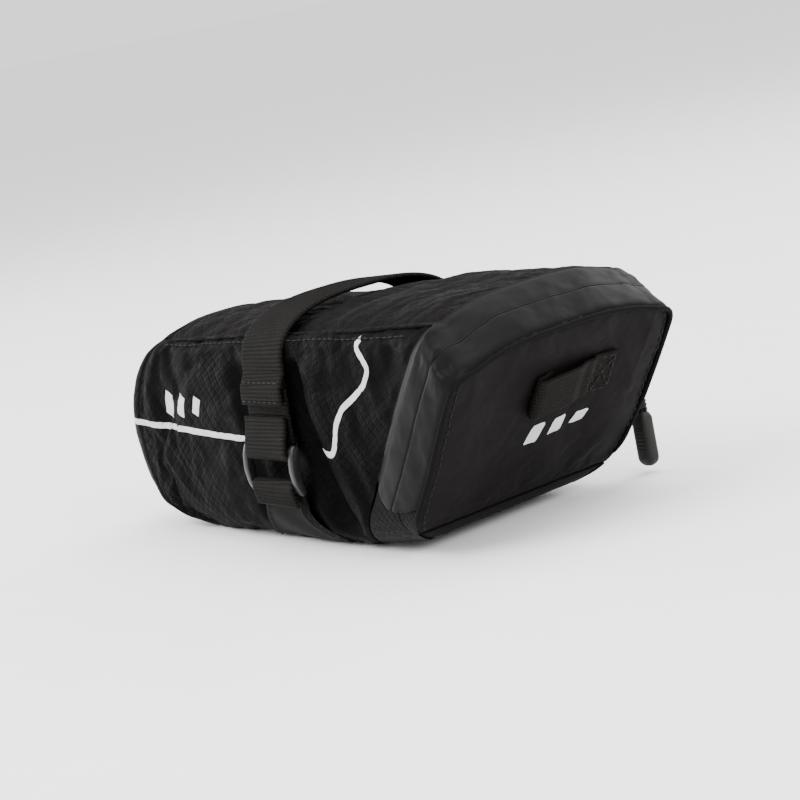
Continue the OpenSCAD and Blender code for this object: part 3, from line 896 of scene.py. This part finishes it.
def under_patch(name, node, body, s, la, lb, i0, i1, cols=26, rows=34):
    g = np.zeros((rows, cols, 3))
    for a in range(rows):
        i = lerp(i0, i1, a / (rows - 1))
        qa, qb = la(i), lb(i)
        for b in range(cols):
            t = lerp(-0.05, 1.02, b / (cols - 1))
            e = max(0, min(1, 4 * t, 4 * (1 - t)))
            d = -0.9 * (1 - ramp01(t, -0.05, 0.06)) - 0.5 * ramp01(i, 5.9,
                6.6) + 0.35 * fbm([qa[0], i * 3, 0], 0.2, 31 + s) * e
            g[a, b] = side_pt(lerp(qa, qb, t), i, d)
    g *= MM
    if s > 0:
        g = flip_y(g)
    o = sheet(name, g, M["patch"], body, 0.001)
    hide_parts(node)
    return g


for s, side in ((-1, "left"), (1, "right")):
    under_patch("end_cloth_" + side, "end_patch_" + side, "bag", s, line_f,
                lambda i: line_r(i) if i <= 3 else line_m(i) - [0.2, 0], 0, 8.3)
    under_patch("gusset_cloth_" + side, "gusset_" + side, "rear_flap", s, line_m, line_r, 3.05, 8, 14, 26)


def zip_strip(name, node, body, t0, t1, tt):
    n = len(ring_list(7))
    g = np.zeros((6, n, 3))
    for a in range(6):
        t = lerp(t0, t1, a / 5)
        for b, (kind, w) in enumerate(ring_list(7.05)):
            g[a, b] = ring_point(t, kind, w, -2.6)
    o = sheet(name, g * MM, M["tape"], body, 0.0006)
    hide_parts(node)
    path = resample(np.array([ring_point(tt, k, w, -1.6) for k, w in ring_list(7.1)]) * MM, 0.0003)
    path2 = resample(np.array([ring_point(tt + (0.03 if tt < 0.5 else -0.03), k, w, -1.6) for k,
        w in ring_list(7.1)]) * MM, 0.0003)
    m = min(len(path), len(path2))
    vs, fs = [], []
    step = 5
    for c in range(0, m - step, step):
        o0 = path[c] if tt < 0.5 else path[min(m - 1, c + 2)]
        o1 = path2[c] if tt < 0.5 else path2[min(m - 1, c + 2)]
        t = path[min(m - 1, c + 3)] - path[c]
        t /= np.linalg.norm(t)
        w = o1 - o0
        w /= np.linalg.norm(w)
        u = np.cross(t, w)
        base = len(vs)
        for k, (x, rad) in enumerate(((-1.0, 0.35), (-0.7, 0.62), (0.1, 0.62), (0.55, 0.75), (0.8, 0.45))):
            for q in range(8):
                b = q * math.pi / 4
                vs.append(o0 + (w * x + t * rad * 0.72 * math.cos(b) + u * rad * 0.7 * math.sin(b)) * 0.00075)
        for k in range(4):
            for q in range(8):
                q2 = (q + 1) % 8
                fs.append((base + k * 8 + q, base + k * 8 + q2, base + (k + 1) * 8 + q2,
                    base + (k + 1) * 8 + q))
        fs.append(tuple(base + q for q in range(8))[::-1])
        fs.append(tuple(base + 32 + q for q in range(8)))
    t = mesh_obj(name + "_teeth", vs, fs, M["coil"], body, None)
    bm_fix(t)


zip_strip("zip_tape_body", "zip_body", "bag", 0.38, 0.488, 0.486)
zip_strip("zip_tape_flap", "zip_flap", "rear_flap", 0.512, 0.62, 0.514)


# ---- rear panel ----
def panel_piece():
    rows, cols = 70, 96
    g = np.zeros((rows, cols, 3))
    for a in range(rows):
        i = lerp(3.0, 18.0, (a / (rows - 1)))
        q = line_r(i)
        k = (q[1] - line_r(3)[1]) / (lip_z - line_r(3)[1])
        x, z = q
        y = side_y(x, z)
        for b in range(cols):
            s = -1 + 2 * b / (cols - 1)
            e = min(1, (1 - abs(s)) * 9, k * 9, (1 - k) * 9)
            bul = 1.0 * (1 - abs(s) ** 4) * (1 - abs(2 * k - 1) ** 6) + 0.45 * e * fbm([s * 30, z, 0], 0.03,
                41)
            dd = bul
            p = np.array([x + dd * math.cos(lean_a), s * y,
                z - dd * math.sin(lean_a) + crown(s * y, q[0]) * k])
            g[a, b] = lift(p)
    g *= MM
    pin = np.zeros((rows, cols))
    g = relax("panel_cloth", g, 0.006, 0.0011, 0.12, pin=pin, seed=17.0, push=0.0003)
    g = edge_roll(g, 1.6, 0.0008)
    o = sheet("rear_panel_cloth", g, M["panel"], "rear_flap", 0.0012)
    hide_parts("rear_panel")
    nn = outward(g, CENTRE)
    loop = [(r, 3) for r in range(3, rows - 4)] + [(rows - 4, c)
        for c in range(3, cols - 3)] + [(r, cols - 4) for r in range(rows - 5, 2, -1)]
    p = np.array([g[a, b] + nn[a, b] * 0.0001 for a, b in loop])
    q = np.array([nn[a, b] for a, b in loop])
    sm = resample(p, 0.001)
    idx = np.linspace(0, len(q) - 1, len(sm)).astype(int)
    stitches("rear_flap", "panel_fabric", sm, q[idx])
    return g


panel_grid = panel_piece()


def grid_tree(*grids):
    vs, fs = [], []
    for g in grids:
        n, m = g.shape[:2]
        base = len(vs)
        vs += [tuple(p) for p in g.reshape(-1, 3)]
        fs += [tuple(base + k for k in f) for f in grid_faces(n, m)]
    return BVHTree.FromPolygons(vs, fs)


# ---- piping ----
def piping():
    e = np.array([math.cos(lean_a), 0, -math.sin(lean_a)]) * 0.1
    pts = [side_pt(line_r(i), i, -0.3) + e for i in np.linspace(4, 18, 60)]
    pts += [top_pt(line_r(18), s, -0.25) + e for s in np.linspace(-1, 1, 60)[1:-1]]
    pts += [(side_pt(line_r(i), i, -0.3) + e) * [1, -1, 1] for i in np.linspace(18, 4, 60)]
    p = smooth_path(np.array(pts) * MM, 0.0012, 4)
    o = tube("rear_piping_cord", p,
        0.0009 * np.clip(np.minimum(40 * np.linspace(0, 1, len(p)), 40 * np.linspace(1, 0, len(p))) + 0.2,
            0, 1) ** 0.5, M["pipe"], "rear_flap", 12)
    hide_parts("rear_piping")
    for s, side in ((-1, "left"), (1, "right")):
        for k, (t0, t1) in enumerate(((0.005, 0.475), (0.645, 0.95))):
            q = [side_pt(lerp(line_f(17.1), line_n(17.1), t), 17.1, -0.35 + 0.15 * math.sin(19 * t + k))
                for t in np.linspace(t0, t1, 60)]
            q = np.array(q) * MM
            q[:, 1] *= -s
            q = smooth_path(q, 0.0012, 3)
            f = np.linspace(0, 1, len(q))
            rr = (0.0009 + 0.00018 * np.sin(21 * f)) * np.clip(np.minimum(5 * f, 5 * (1 - f)) + 0.15, 0,
                1) ** 0.5
            o = tube("seam_roll_%s_%d" % (side, k), q, rr, M["side"], "bag", 12)
        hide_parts("piping_top_" + side)


piping()


# ---- reflective stripe and marks, laid on the finished cloth ----
def drape(tree, x, z, s):
    hit = tree.ray_cast(V((x * MM, s * 0.09, z * MM)), V((0, -s, 0)))
    return hit[0], hit[1]


def film_ribbon(name, path, w, s, tree, body="bag", step=1.0):
    p = np.array(path, float)
    p3 = resample(np.c_[p, np.zeros(len(p))], step)[:, :2]
    for _ in range(2):
        p3[1:-1] = (p3[:-2] + 2 * p3[1:-1] + p3[2:]) / 4
    t = np.gradient(p3, axis=0)
    t /= np.linalg.norm(t, axis=1, keepdims=True)
    nn = np.stack([-t[:, 1], t[:, 0]], 1)
    rows = []
    for c, k in zip(p3, nn):
        row = []
        for f in (-0.5, -0.25, 0, 0.25, 0.5):
            q = c + k * w * f
            h, n = drape(tree, q[0], q[1], s)
            if h is None:
                row = None
                break
            n = n if n.y * s > 0 else -n
            row.append(np.array(h + n * (0.00016 if abs(f) < 0.5 else 0.00004)))
        if row:
            rows.append(row)
    g = np.array(rows)
    return sheet(name, g, M["reflect"], body, 0.0)


ml, mh = box("mark_left")
st_l = box("stripe_left")[0]
for s, side in ((-1, "left"), (1, "right")):
    tree = grid_tree(side_grids[s], nose_grid)
    near, cut = strap_x + strap_w / 2 - 4, strap_x + strap_w / 2 + 10
    line = [(lerp(st_l[0], 15.5, k / 60), lerp(40.8, 34.6, k / 60)) for k in range(61)]
    nose_run = [(st_l[0] - 7.5, 41.2)] + [q for q in line if q[0] < near]
    path = [q for q in line if q[0] > cut] + [(17.8, 35.2), (19.2, 37.5), (20, 41), (22, 45.6),
        (25.4, 49.8), (33.8, 54.9), (39.4, 58.4), (42.2, 61.6),
             (42.6, 64), (39.8, 66.6), (37.2, 69), (36.6, 71), (38.4, 72.6)]
    film_ribbon("stripe_nose_" + side, nose_run, 2.2, s, tree)
    o = film_ribbon("stripe_film_" + side, path, 2.2, s, tree)
    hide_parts("stripe_" + side)
    first = None
    for k in range(3):
        x0 = lerp(ml[0], mh[0], k / 3) + 1.5
        o = film_ribbon("mark_film_%s_%d" % (side, k),
            [(x0 + 2.2, ml[2] + 0.8 + k * 0.6), (x0 + 5.2, mh[2] - 0.8 - k * 0.6)], 5.6 - k, s, tree,
                step=0.8)
        first = first or o
    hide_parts("mark_" + side)

pt = grid_tree(panel_grid)
rl = box("rear_mark")[0]


def on_panel(y, u, off):
    """Point on the finished rear panel, y across and u up its slope, off in mm outwards."""
    base = np.array([foot_x, y, 0]) + u * np.array([math.sin(lean_a), 0, math.cos(lean_a)])
    d = V((math.cos(lean_a), 0, -math.sin(lean_a)))
    h = pt.ray_cast(V(tuple(base * MM)) + d * 0.03, -d)[0]
    return np.array(h) + np.array(d) * off * MM


first = None
for k in range(3):
    rows = []
    y0 = rl[1] + 10.5 * k
    h = 7.4 - 1.6 * k
    for a in range(10):
        f = a / 9
        e = 0.5 * (1 - math.sqrt(max(0, 1 - (2 * f - 1) ** 8)))
        rows.append([on_panel(y0 + 2.2 * f + 6 * t, 33.8 + 0.9 * k + h * f,
            0.03 if t in (0, 1) or a in (0, 9) else 0.17) for t in np.linspace(0 + e * 0.2, 1 - e * 0.2, 9)])
    o = sheet("rear_mark_film_%d" % k, np.array(rows), M["reflect"], "rear_flap", 0.0)
    first = first or o
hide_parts("rear_mark")


# ---- webbing ----
def web_section(w, t, k=18):
    a = [(lerp(-w / 2 + t / 2, w / 2 - t / 2, j / k), -t / 2) for j in range(k + 1)]
    a += [(w / 2 - t / 2 + t / 2 * math.sin(b), -t / 2 * math.cos(b)) for b in (0.8, 1.57, 2.35)]
    a += [(x, t / 2) for x, _ in a[:k + 1][::-1]]
    a += [(-w / 2 + t / 2 - t / 2 * math.sin(b), t / 2 * math.cos(b)) for b in (0.8, 1.57, 2.35)]
    return a


def web_piece(name, path, across, body, w, t, step=0.00033, rib=0.0002, smooth=6,
    along=False):
    p = smooth_path(np.array(path) * MM, step, smooth)
    n = len(p)
    src = np.linspace(0, 1, len(across))
    a = np.stack([np.interp(np.linspace(0, 1, n), src, np.array(across)[:, k]) for k in range(3)], 1)
    tg = np.gradient(p, axis=0)
    tg /= np.linalg.norm(tg, axis=1, keepdims=True)
    a = a - (a * tg).sum(1, keepdims=True) * tg
    a /= np.linalg.norm(a, axis=1, keepdims=True)
    nn = np.cross(tg, a)
    sec = np.array(web_section(w * MM, t * MM, 90 if along else 18))
    ln = np.concatenate([[0], np.cumsum(np.linalg.norm(np.diff(p, axis=0), axis=1))])
    sec = np.repeat(sec[None], n, 0)
    ridge = rib * (np.sin(2 * np.pi * sec[..., 0] / 0.0012) if along
        else np.sin(2 * np.pi * ln / RIB)[:, None])
    edge = 1 - 0.4 * (np.abs(sec[..., 0]) > (w / 2 - 1.2) * MM)
    sec[..., 1] += np.sign(sec[..., 1]) * ridge * edge
    return sweep(name, p, a, nn, sec, M["elastic" if along else "web"], body), p, a, nn


LA = np.array([1, -TAPER, 0])
RA = np.array([1, TAPER, 0])


def d_at(z):
    return 0.5 + 2.3 * max(0, min(1, (61.5 - z) / 5))


ARCH_POWER = 0.77     # under 1: the strap arch is squarer than an ellipse


def strap():
    z0, t = 62, 1.5
    top = so_h[2] - t
    path, ac = [], []
    hem = so_l[2]
    for z in np.linspace(hem, 61, 12):
        path.append((strap_x, -side_y(strap_x, z) - d_at(z) - t / 2, z))
        ac.append(LA)
    for a in range(0, 181, 4):
        c, s = math.cos(math.radians(a)), math.sin(math.radians(a))
        w = side_y(strap_x, z0) + 0.5 + t / 2
        path.append((strap_x, -w * math.copysign(abs(c) ** ARCH_POWER, c),
            z0 + (top + t / 2 - z0) * abs(s) ** ARCH_POWER))
        f = a / 180
        ac.append(np.array([1, -TAPER * math.cos(math.pi * f), 0.033 * math.sin(math.pi * f)]))
    for z in np.linspace(61, hem, 12):
        path.append((strap_x, side_y(strap_x, z) + d_at(z) + t / 2, z))
        ac.append(RA)
    o, *_ = web_piece("strap_webbing", path, ac, "bag", strap_w, t)
    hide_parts("strap_over")
    for s in (-1, 1):
        for z in (hem + 1.2, hem + 7.5):
            q = [np.array([strap_x + x, s * (side_y(strap_x + x, z) + d_at(z) + t + 0.12), z]) * MM
                for x in np.linspace(-strap_w / 2 + 1.2, strap_w / 2 - 1.2, 30)]
            stitches("bag", "webbing", q, (0, s, 0), r=0.00022)


strap()

wrap = bar_d / 2 + 0.35


def web_from(points, t, side):
    """Offset a path of (distance, z) by half the thickness to its left."""
    p = np.array(points, float)
    tg = np.gradient(p, axis=0)
    tg /= np.linalg.norm(tg, axis=1, keepdims=True)
    n = np.stack([-tg[:, 1], tg[:, 0]], 1)
    q = p + n * t / 2 * side
    return q


for s, side, A in ((-1, "left", LA), (1, "right", RA)):
    arc = [(bar_c + wrap * math.cos(a), lock_top + wrap * math.sin(a))
        for a in np.radians(range(180, 361, 20))]
    up = lock_top
    q = web_from([(bar_c - wrap, 56), (bar_c - wrap, 52), (bar_c - wrap, 48), (bar_c - wrap, up + 6)] + arc
                 + [(4.6, up + 3), (3.3, up + 7), (2.8, up + 9.5), (2.75, so_l[2] - 4)], 1.5, -1)
    path = [(strap_x, s * (side_y(strap_x, z) + d), z) for d, z in q]
    o, *_ = web_piece("adjuster_webbing_" + side, path, [A] * len(path), "bag", strap_w, 1.4, smooth=3)
    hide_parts("adjuster_" + side)
    arc = [(bar_c + wrap * math.cos(a), low_z + wrap * math.sin(a)) for a in np.radians(range(180, -1, -20))]
    q = web_from([(bar_c - wrap, low_z - 7.5), (bar_c - wrap, low_z - 4)] + arc
        + [(4.9, low_z - 2.2), (4.5, low_z - 3.6), (4.1, low_z - 5), (3.9, low_z - 6)], 1.5, 1)
    path = [(strap_x, s * (side_y(strap_x, max(1.5, z)) + d), z) for d, z in q]
    o, *_ = web_piece("lower_webbing_" + side, path, [A] * len(path), "bag", strap_w, 1.4, smooth=3)
    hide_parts("lower_web_" + side)


# ---- wings under the lower webbing ----
def wing(s, side):
    rows, cols = 30, 34
    g = np.zeros((rows, cols, 3))
    for a in range(rows):
        i = lerp(1.6, 6.9, a / (rows - 1))
        z = row_z(i, 70, 5)
        f = (1 - min(1, z / base_r)) ** 1.3
        for b in range(cols):
            t = b / (cols - 1)
            x = lerp(strap_x - strap_w / 2 - 1 - 12 * f, strap_x + strap_w / 2 + 1 + 13 * f, t)
            fold = 0.9 * bell(t, 0.86, 0.05) * ramp01(i, 1.6,
                3.5) + 0.35 * math.sin(9 * t + i) * (1 - ramp01(i, 5, 6.3))
            g[a, b] = side_pt([x, z], i, 0.35 + 1.2 * ramp01(i, 3, 6) + fold * min(1, 8 * t, 8 * (1 - t)))
    g *= MM
    g[..., 2] = np.maximum(g[..., 2], 0.0009)
    if s > 0:
        g = flip_y(g)
    o = sheet("wing_cloth_" + side, g, M["wing"], "bag", 0.0008)
    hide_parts("wing_" + side)
    nn = outward(g, CENTRE)
    for c in (2, cols - 3):
        stitches("bag", "wing_fabric", resample(g[:, c] + nn[:, c] * 0.0001, 0.0008), nn[:, c].mean(0),
            r=0.00017)


for s, side in ((-1, "left"), (1, "right")):
    wing(s, side)


# ---- light loop ----
ll_l, ll_h = box("light_loop")
y0, y1 = ll_l[1], ll_h[1]
u0, loop_w = 47.5, 15.0
deep = 3.9
span = y1 - y0
prof = [(0.75, 8.5), (0.75, 6.5), (1.5, 4.2), (deep - 2.4, 1.4), (deep - 1.2, 0.75), (deep - 0.3, 1.1),
    (deep - 0.1, 2.6), (deep - 0.4, span - 19),
        (deep - 1.6, span - 14.5), (2.2, span - 11), (0.85, span - 9), (0.75, span)]
U = np.array([math.sin(lean_a), 0, math.cos(lean_a)])
path = [on_panel(y0 + y, u0 + loop_w / 2, n) / MM for n, y in prof]
o, *_ = web_piece("loop_webbing", path, [U] * len(path), "rear_flap", loop_w, 1.3, smooth=4,
    along=True, rib=0.0001)
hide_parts("light_loop")
out_n = (math.cos(lean_a), 0, -math.sin(lean_a))
c0, c1 = y1 - 8.6, y1 - 0.9
box_path = [(c0, 1.3), (c1, 1.3), (c1, loop_w - 1.3), (c0, loop_w - 1.3), (c0, 1.3)]
for a, b in zip(box_path[:-1], box_path[1:]):
    seg = [on_panel(lerp(a[0], b[0], t), u0 + lerp(a[1], b[1], t), 1.52) for t in np.linspace(0, 1, 14)]
    stitches("rear_flap", "webbing", seg, out_n, r=0.00021)
for a, b in (((c0, 1.3), (c1, loop_w - 1.3)), ((c1, 1.3), (c0, loop_w - 1.3))):
    seg = [on_panel(lerp(a[0], b[0], t), u0 + lerp(a[1], b[1], t), 1.55) for t in np.linspace(0, 1, 14)]
    stitches("rear_flap", "webbing", seg, out_n, r=0.00021)
seg = [on_panel(y0 + 0.9, u0 + lerp(1.2, loop_w - 1.2, t), 1.52) for t in np.linspace(0, 1, 14)]
stitches("rear_flap", "webbing", seg, out_n, r=0.00021)


# ---- buckles ----
def rounded(pts, r, k=5):
    """Round the corners of a closed outline."""
    out = []
    n = len(pts)
    for i in range(n):
        p, a, b = np.array(pts[i], float), np.array(pts[i - 1], float), np.array(pts[(i + 1) % n], float)
        da, db = a - p, b - p
        rr = min(r, np.linalg.norm(da) * 0.45, np.linalg.norm(db) * 0.45)
        pa, pb = p + da / np.linalg.norm(da) * rr, p + db / np.linalg.norm(db) * rr
        for j in range(k + 1):
            t = j / k
            out.append((1 - t) ** 2 * pa + 2 * t * (1 - t) * p + t * t * pb)
    return np.array(out)


def plate(name, outline, depth, frame_m, mat, body, bevel=0.0004):
    """Outline (a, b) extruded along the third axis, bevelled; frame_m maps to the row frame, mm in."""
    n = len(outline)
    vs = [(x, y, -depth / 2) for x, y in outline] + [(x, y, depth / 2) for x, y in outline]
    vs = [tuple((frame_m @ V(v)) * 1.0) for v in vs]
    vs = [tuple(np.array(v) * MM) for v in vs]
    fs = [tuple(range(n))[::-1],
        tuple(range(n, 2 * n))] + [(i, (i + 1) % n, n + (i + 1) % n, n + i) for i in range(n)]
    o = mesh_obj(name, vs, fs, mat, None, None, smooth=False)
    bm_fix(o)
    md = o.modifiers.new("bevel", "BEVEL")
    md.width, md.segments, md.limit_method = bevel, 3, "ANGLE"
    md.angle_limit = math.radians(50)
    md.harden_normals = False
    o.data.polygons.foreach_set("use_smooth", [True] * len(o.data.polygons))
    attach(o, body)
    return o


def buckle(s, side):
    cz = (lock_top + bar_d / 2 + low_z - bar_d / 2) / 2
    h = lock_top - low_z + bar_d
    w = 31.0
    o3 = V((strap_x, s * side_y(strap_x, cz), cz))
    ax = V((1, s * TAPER, 0)).normalized()
    out = V((-ax.y * -s * 1, 0, 0))
    out = V((0, 0, 1)).cross(ax) * (-1 if s < 0 else 1)
    ups = V((0, 0, 1))
    base = o3 + out * bar_c
    e = h / 2 + 1.4
    side_out = rounded([(-2, -e + 0.6), (0.2, -e), (1.9, -e + 3.4), (2.6, 0), (1.9, e - 3.4), (0.2, e),
        (-2, e - 0.6), (-1.1, e - 4), (-1, 0), (-1.1, -e + 4)], 1.6)
    for k, f in enumerate((-1, 1)):
        fm = Matrix((out, ups, ax)).transposed().to_4x4()
        fm.translation = base + ax * (f * (w / 2 - 1.2))
        plate("lock_side_%s_%d" % (side, k), side_out, 2.4, fm, M["buckle"], "bag",
            0.00055)
    for k, z in enumerate((lock_top, low_z)):
        sec = rounded([(-1.2, -1.15), (1.25, -1.15), (1.25, 1.15), (-1.2, 1.15)], 0.8, 4)
        fm = Matrix((out, ups, ax)).transposed().to_4x4()
        fm.translation = base + ups * (z - cz)
        plate("lock_bar_%s_%d" % (side, k), sec, w - 3, fm, M["buckle"], "bag",
            0.0002)
    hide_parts("buckle_" + side)


for s, side in ((-1, "left"), (1, "right")):
    buckle(s, side)


# ---- slider, cord and grip ----
slide_p = pivot - np.array([0, 3.85, 0.1])
su = V((math.sin(lean_a), 0, math.cos(lean_a)))
so = V((0, math.cos(math.radians(2)), 0)) + su * 0.0
sw = V((math.cos(lean_a), 0, -math.sin(lean_a)))
fm = Matrix((sw, su, so)).transposed().to_4x4()
fm.translation = V(tuple(slide_p)) + so * 1.75
outl = rounded([(-1.5, -5.3), (1.5, -5.3), (2.3, -2.2), (3.4, 1.8), (3.2, 5.2), (1.0, 5.4), (0, 3.2),
    (-1.0, 5.4), (-3.2, 5.2), (-3.4, 1.8), (-2.3, -2.2)], 1.0)
o = plate("slider_body", outl, 1.7, fm, M["slider"], "zip_slider", 0.00045)
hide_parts("zip_slider")
bail = []
for a in np.linspace(0, math.pi, 25):
    bail.append((V(tuple(slide_p)) + so * (2.5 + 3.4 * math.sin(a)) + su * (3.4 * math.cos(a))) * MM)
tube("slider_bail", bail, 0.0007, M["slider"], "zip_slider", 12)

hang = np.array([0.6, 8.2, -7.4])
cr = 0.8
c = cr + 0.05
w = 2.4 * np.array(sw)
route = [hang - [c, 0, 2.6], hang + [-c, 0, 0.4], hang + [-c, 0, 2.6], [-1.9, 7.4, -2.6], [-3, 4.6, 0],
    [-2.9, 2, 0.9],
         -1.2 * w + [0, 0.35, 0], -0.7 * w, [0, 0, 0], 0.7 * w, 1.2 * w + [0, 0.35, 0], [3.3, 2, -1.9],
             [3.4, 4.6, -2.4],
         [2.4, 7.2, -3.8], hang + [c, 0, 2.6], hang + [c, 0, 0.4], hang + [c, 0, -2.6]]
route = (np.array([np.array(p, float) for p in route]) + pivot) * MM
o = tube("pull_cord_loop", smooth_path(route, 0.00035, 5), cr * MM, M["cord"], "zip_pull", 14)
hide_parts("pull_cord")
kn = []
for a in np.linspace(0, 2 * math.pi * 2.1, 90):
    kn.append(pivot + hang + [2.0 * math.cos(a), 1.55 * math.sin(a), 0.35 + 1.5 * a / (2 * math.pi)])
tube("pull_knot", np.array(kn) * MM, 0.00078, M["cord"], "zip_pull", 12)

gl, gh = box("pull_grip")
gc = (gl + gh) / 2
rows, k = 60, 48
h = gh[2] - gl[2]
vs, uvs = [], []
for a in range(rows):
    f = a / (rows - 1)
    z = gl[2] + h * f
    if f < 0.17:
        sc = math.sqrt(max(0.0004, 1 - (1 - f / 0.17) ** 2))
    elif f > 0.86:
        sc = 1 - 0.42 * ((f - 0.86) / 0.14) ** 1.6
    else:
        sc = 1.0
    rib = -0.16 if 0.3 < f < 0.74 and math.sin(f * 95) > 0.1 else 0.0
    for b in range(k):
        t = 2 * math.pi * b / k
        ct, st = math.cos(t), math.sin(t)
        q = (abs(ct / 3.5) ** 3.2 + abs(st / 2.75) ** 3.2) ** (-1 / 3.2)
        face = 1 if abs(ct) < 0.55 else 0
        r = q * sc + (rib if face else 0)
        vs.append((np.array([gc[0] + r * ct * 1.0, gc[1] + r * st * 1.0, z])) * MM)
        uvs.append((t * 0.0035, z * MM))
fs = [(a * k + b, a * k + (b + 1) % k, (a + 1) * k + (b + 1) % k, (a + 1) * k + b) for a in range(rows - 1)
    for b in range(k)]
fs += [tuple(range(k))[::-1], tuple((rows - 1) * k + b for b in range(k))]
o = mesh_obj("pull_grip_rubber", vs, fs, M["grip"], "zip_pull", uvs)
bm_fix(o)
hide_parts("pull_grip")

for n, ((body, slot), (vs, fs)) in enumerate(stitch_sets.items()):
    mesh_obj("stitches_%s_%s" % (body, slot), vs, fs, M["thread"], body, None)

# ---- floor ----
fl = bpy.data.meshes.new("floor")
fl.from_pydata([(-30, -30, 0), (30, -30, 0), (30, 30, 0), (-30, 30, 0)], [], [(0, 1, 2, 3)])
floor = bpy.data.objects.new("floor", fl)
bpy.context.scene.collection.objects.link(floor)
fmn = Nodes("floor_paper")
fmn.out(fmn.ramp(fmn.noise(30, 2, uv=False), [(0.3, (0.93, 0.93, 0.93)), (0.7, (0.95, 0.95, 0.95))]), 0.8)
fl.materials.append(fmn.m)
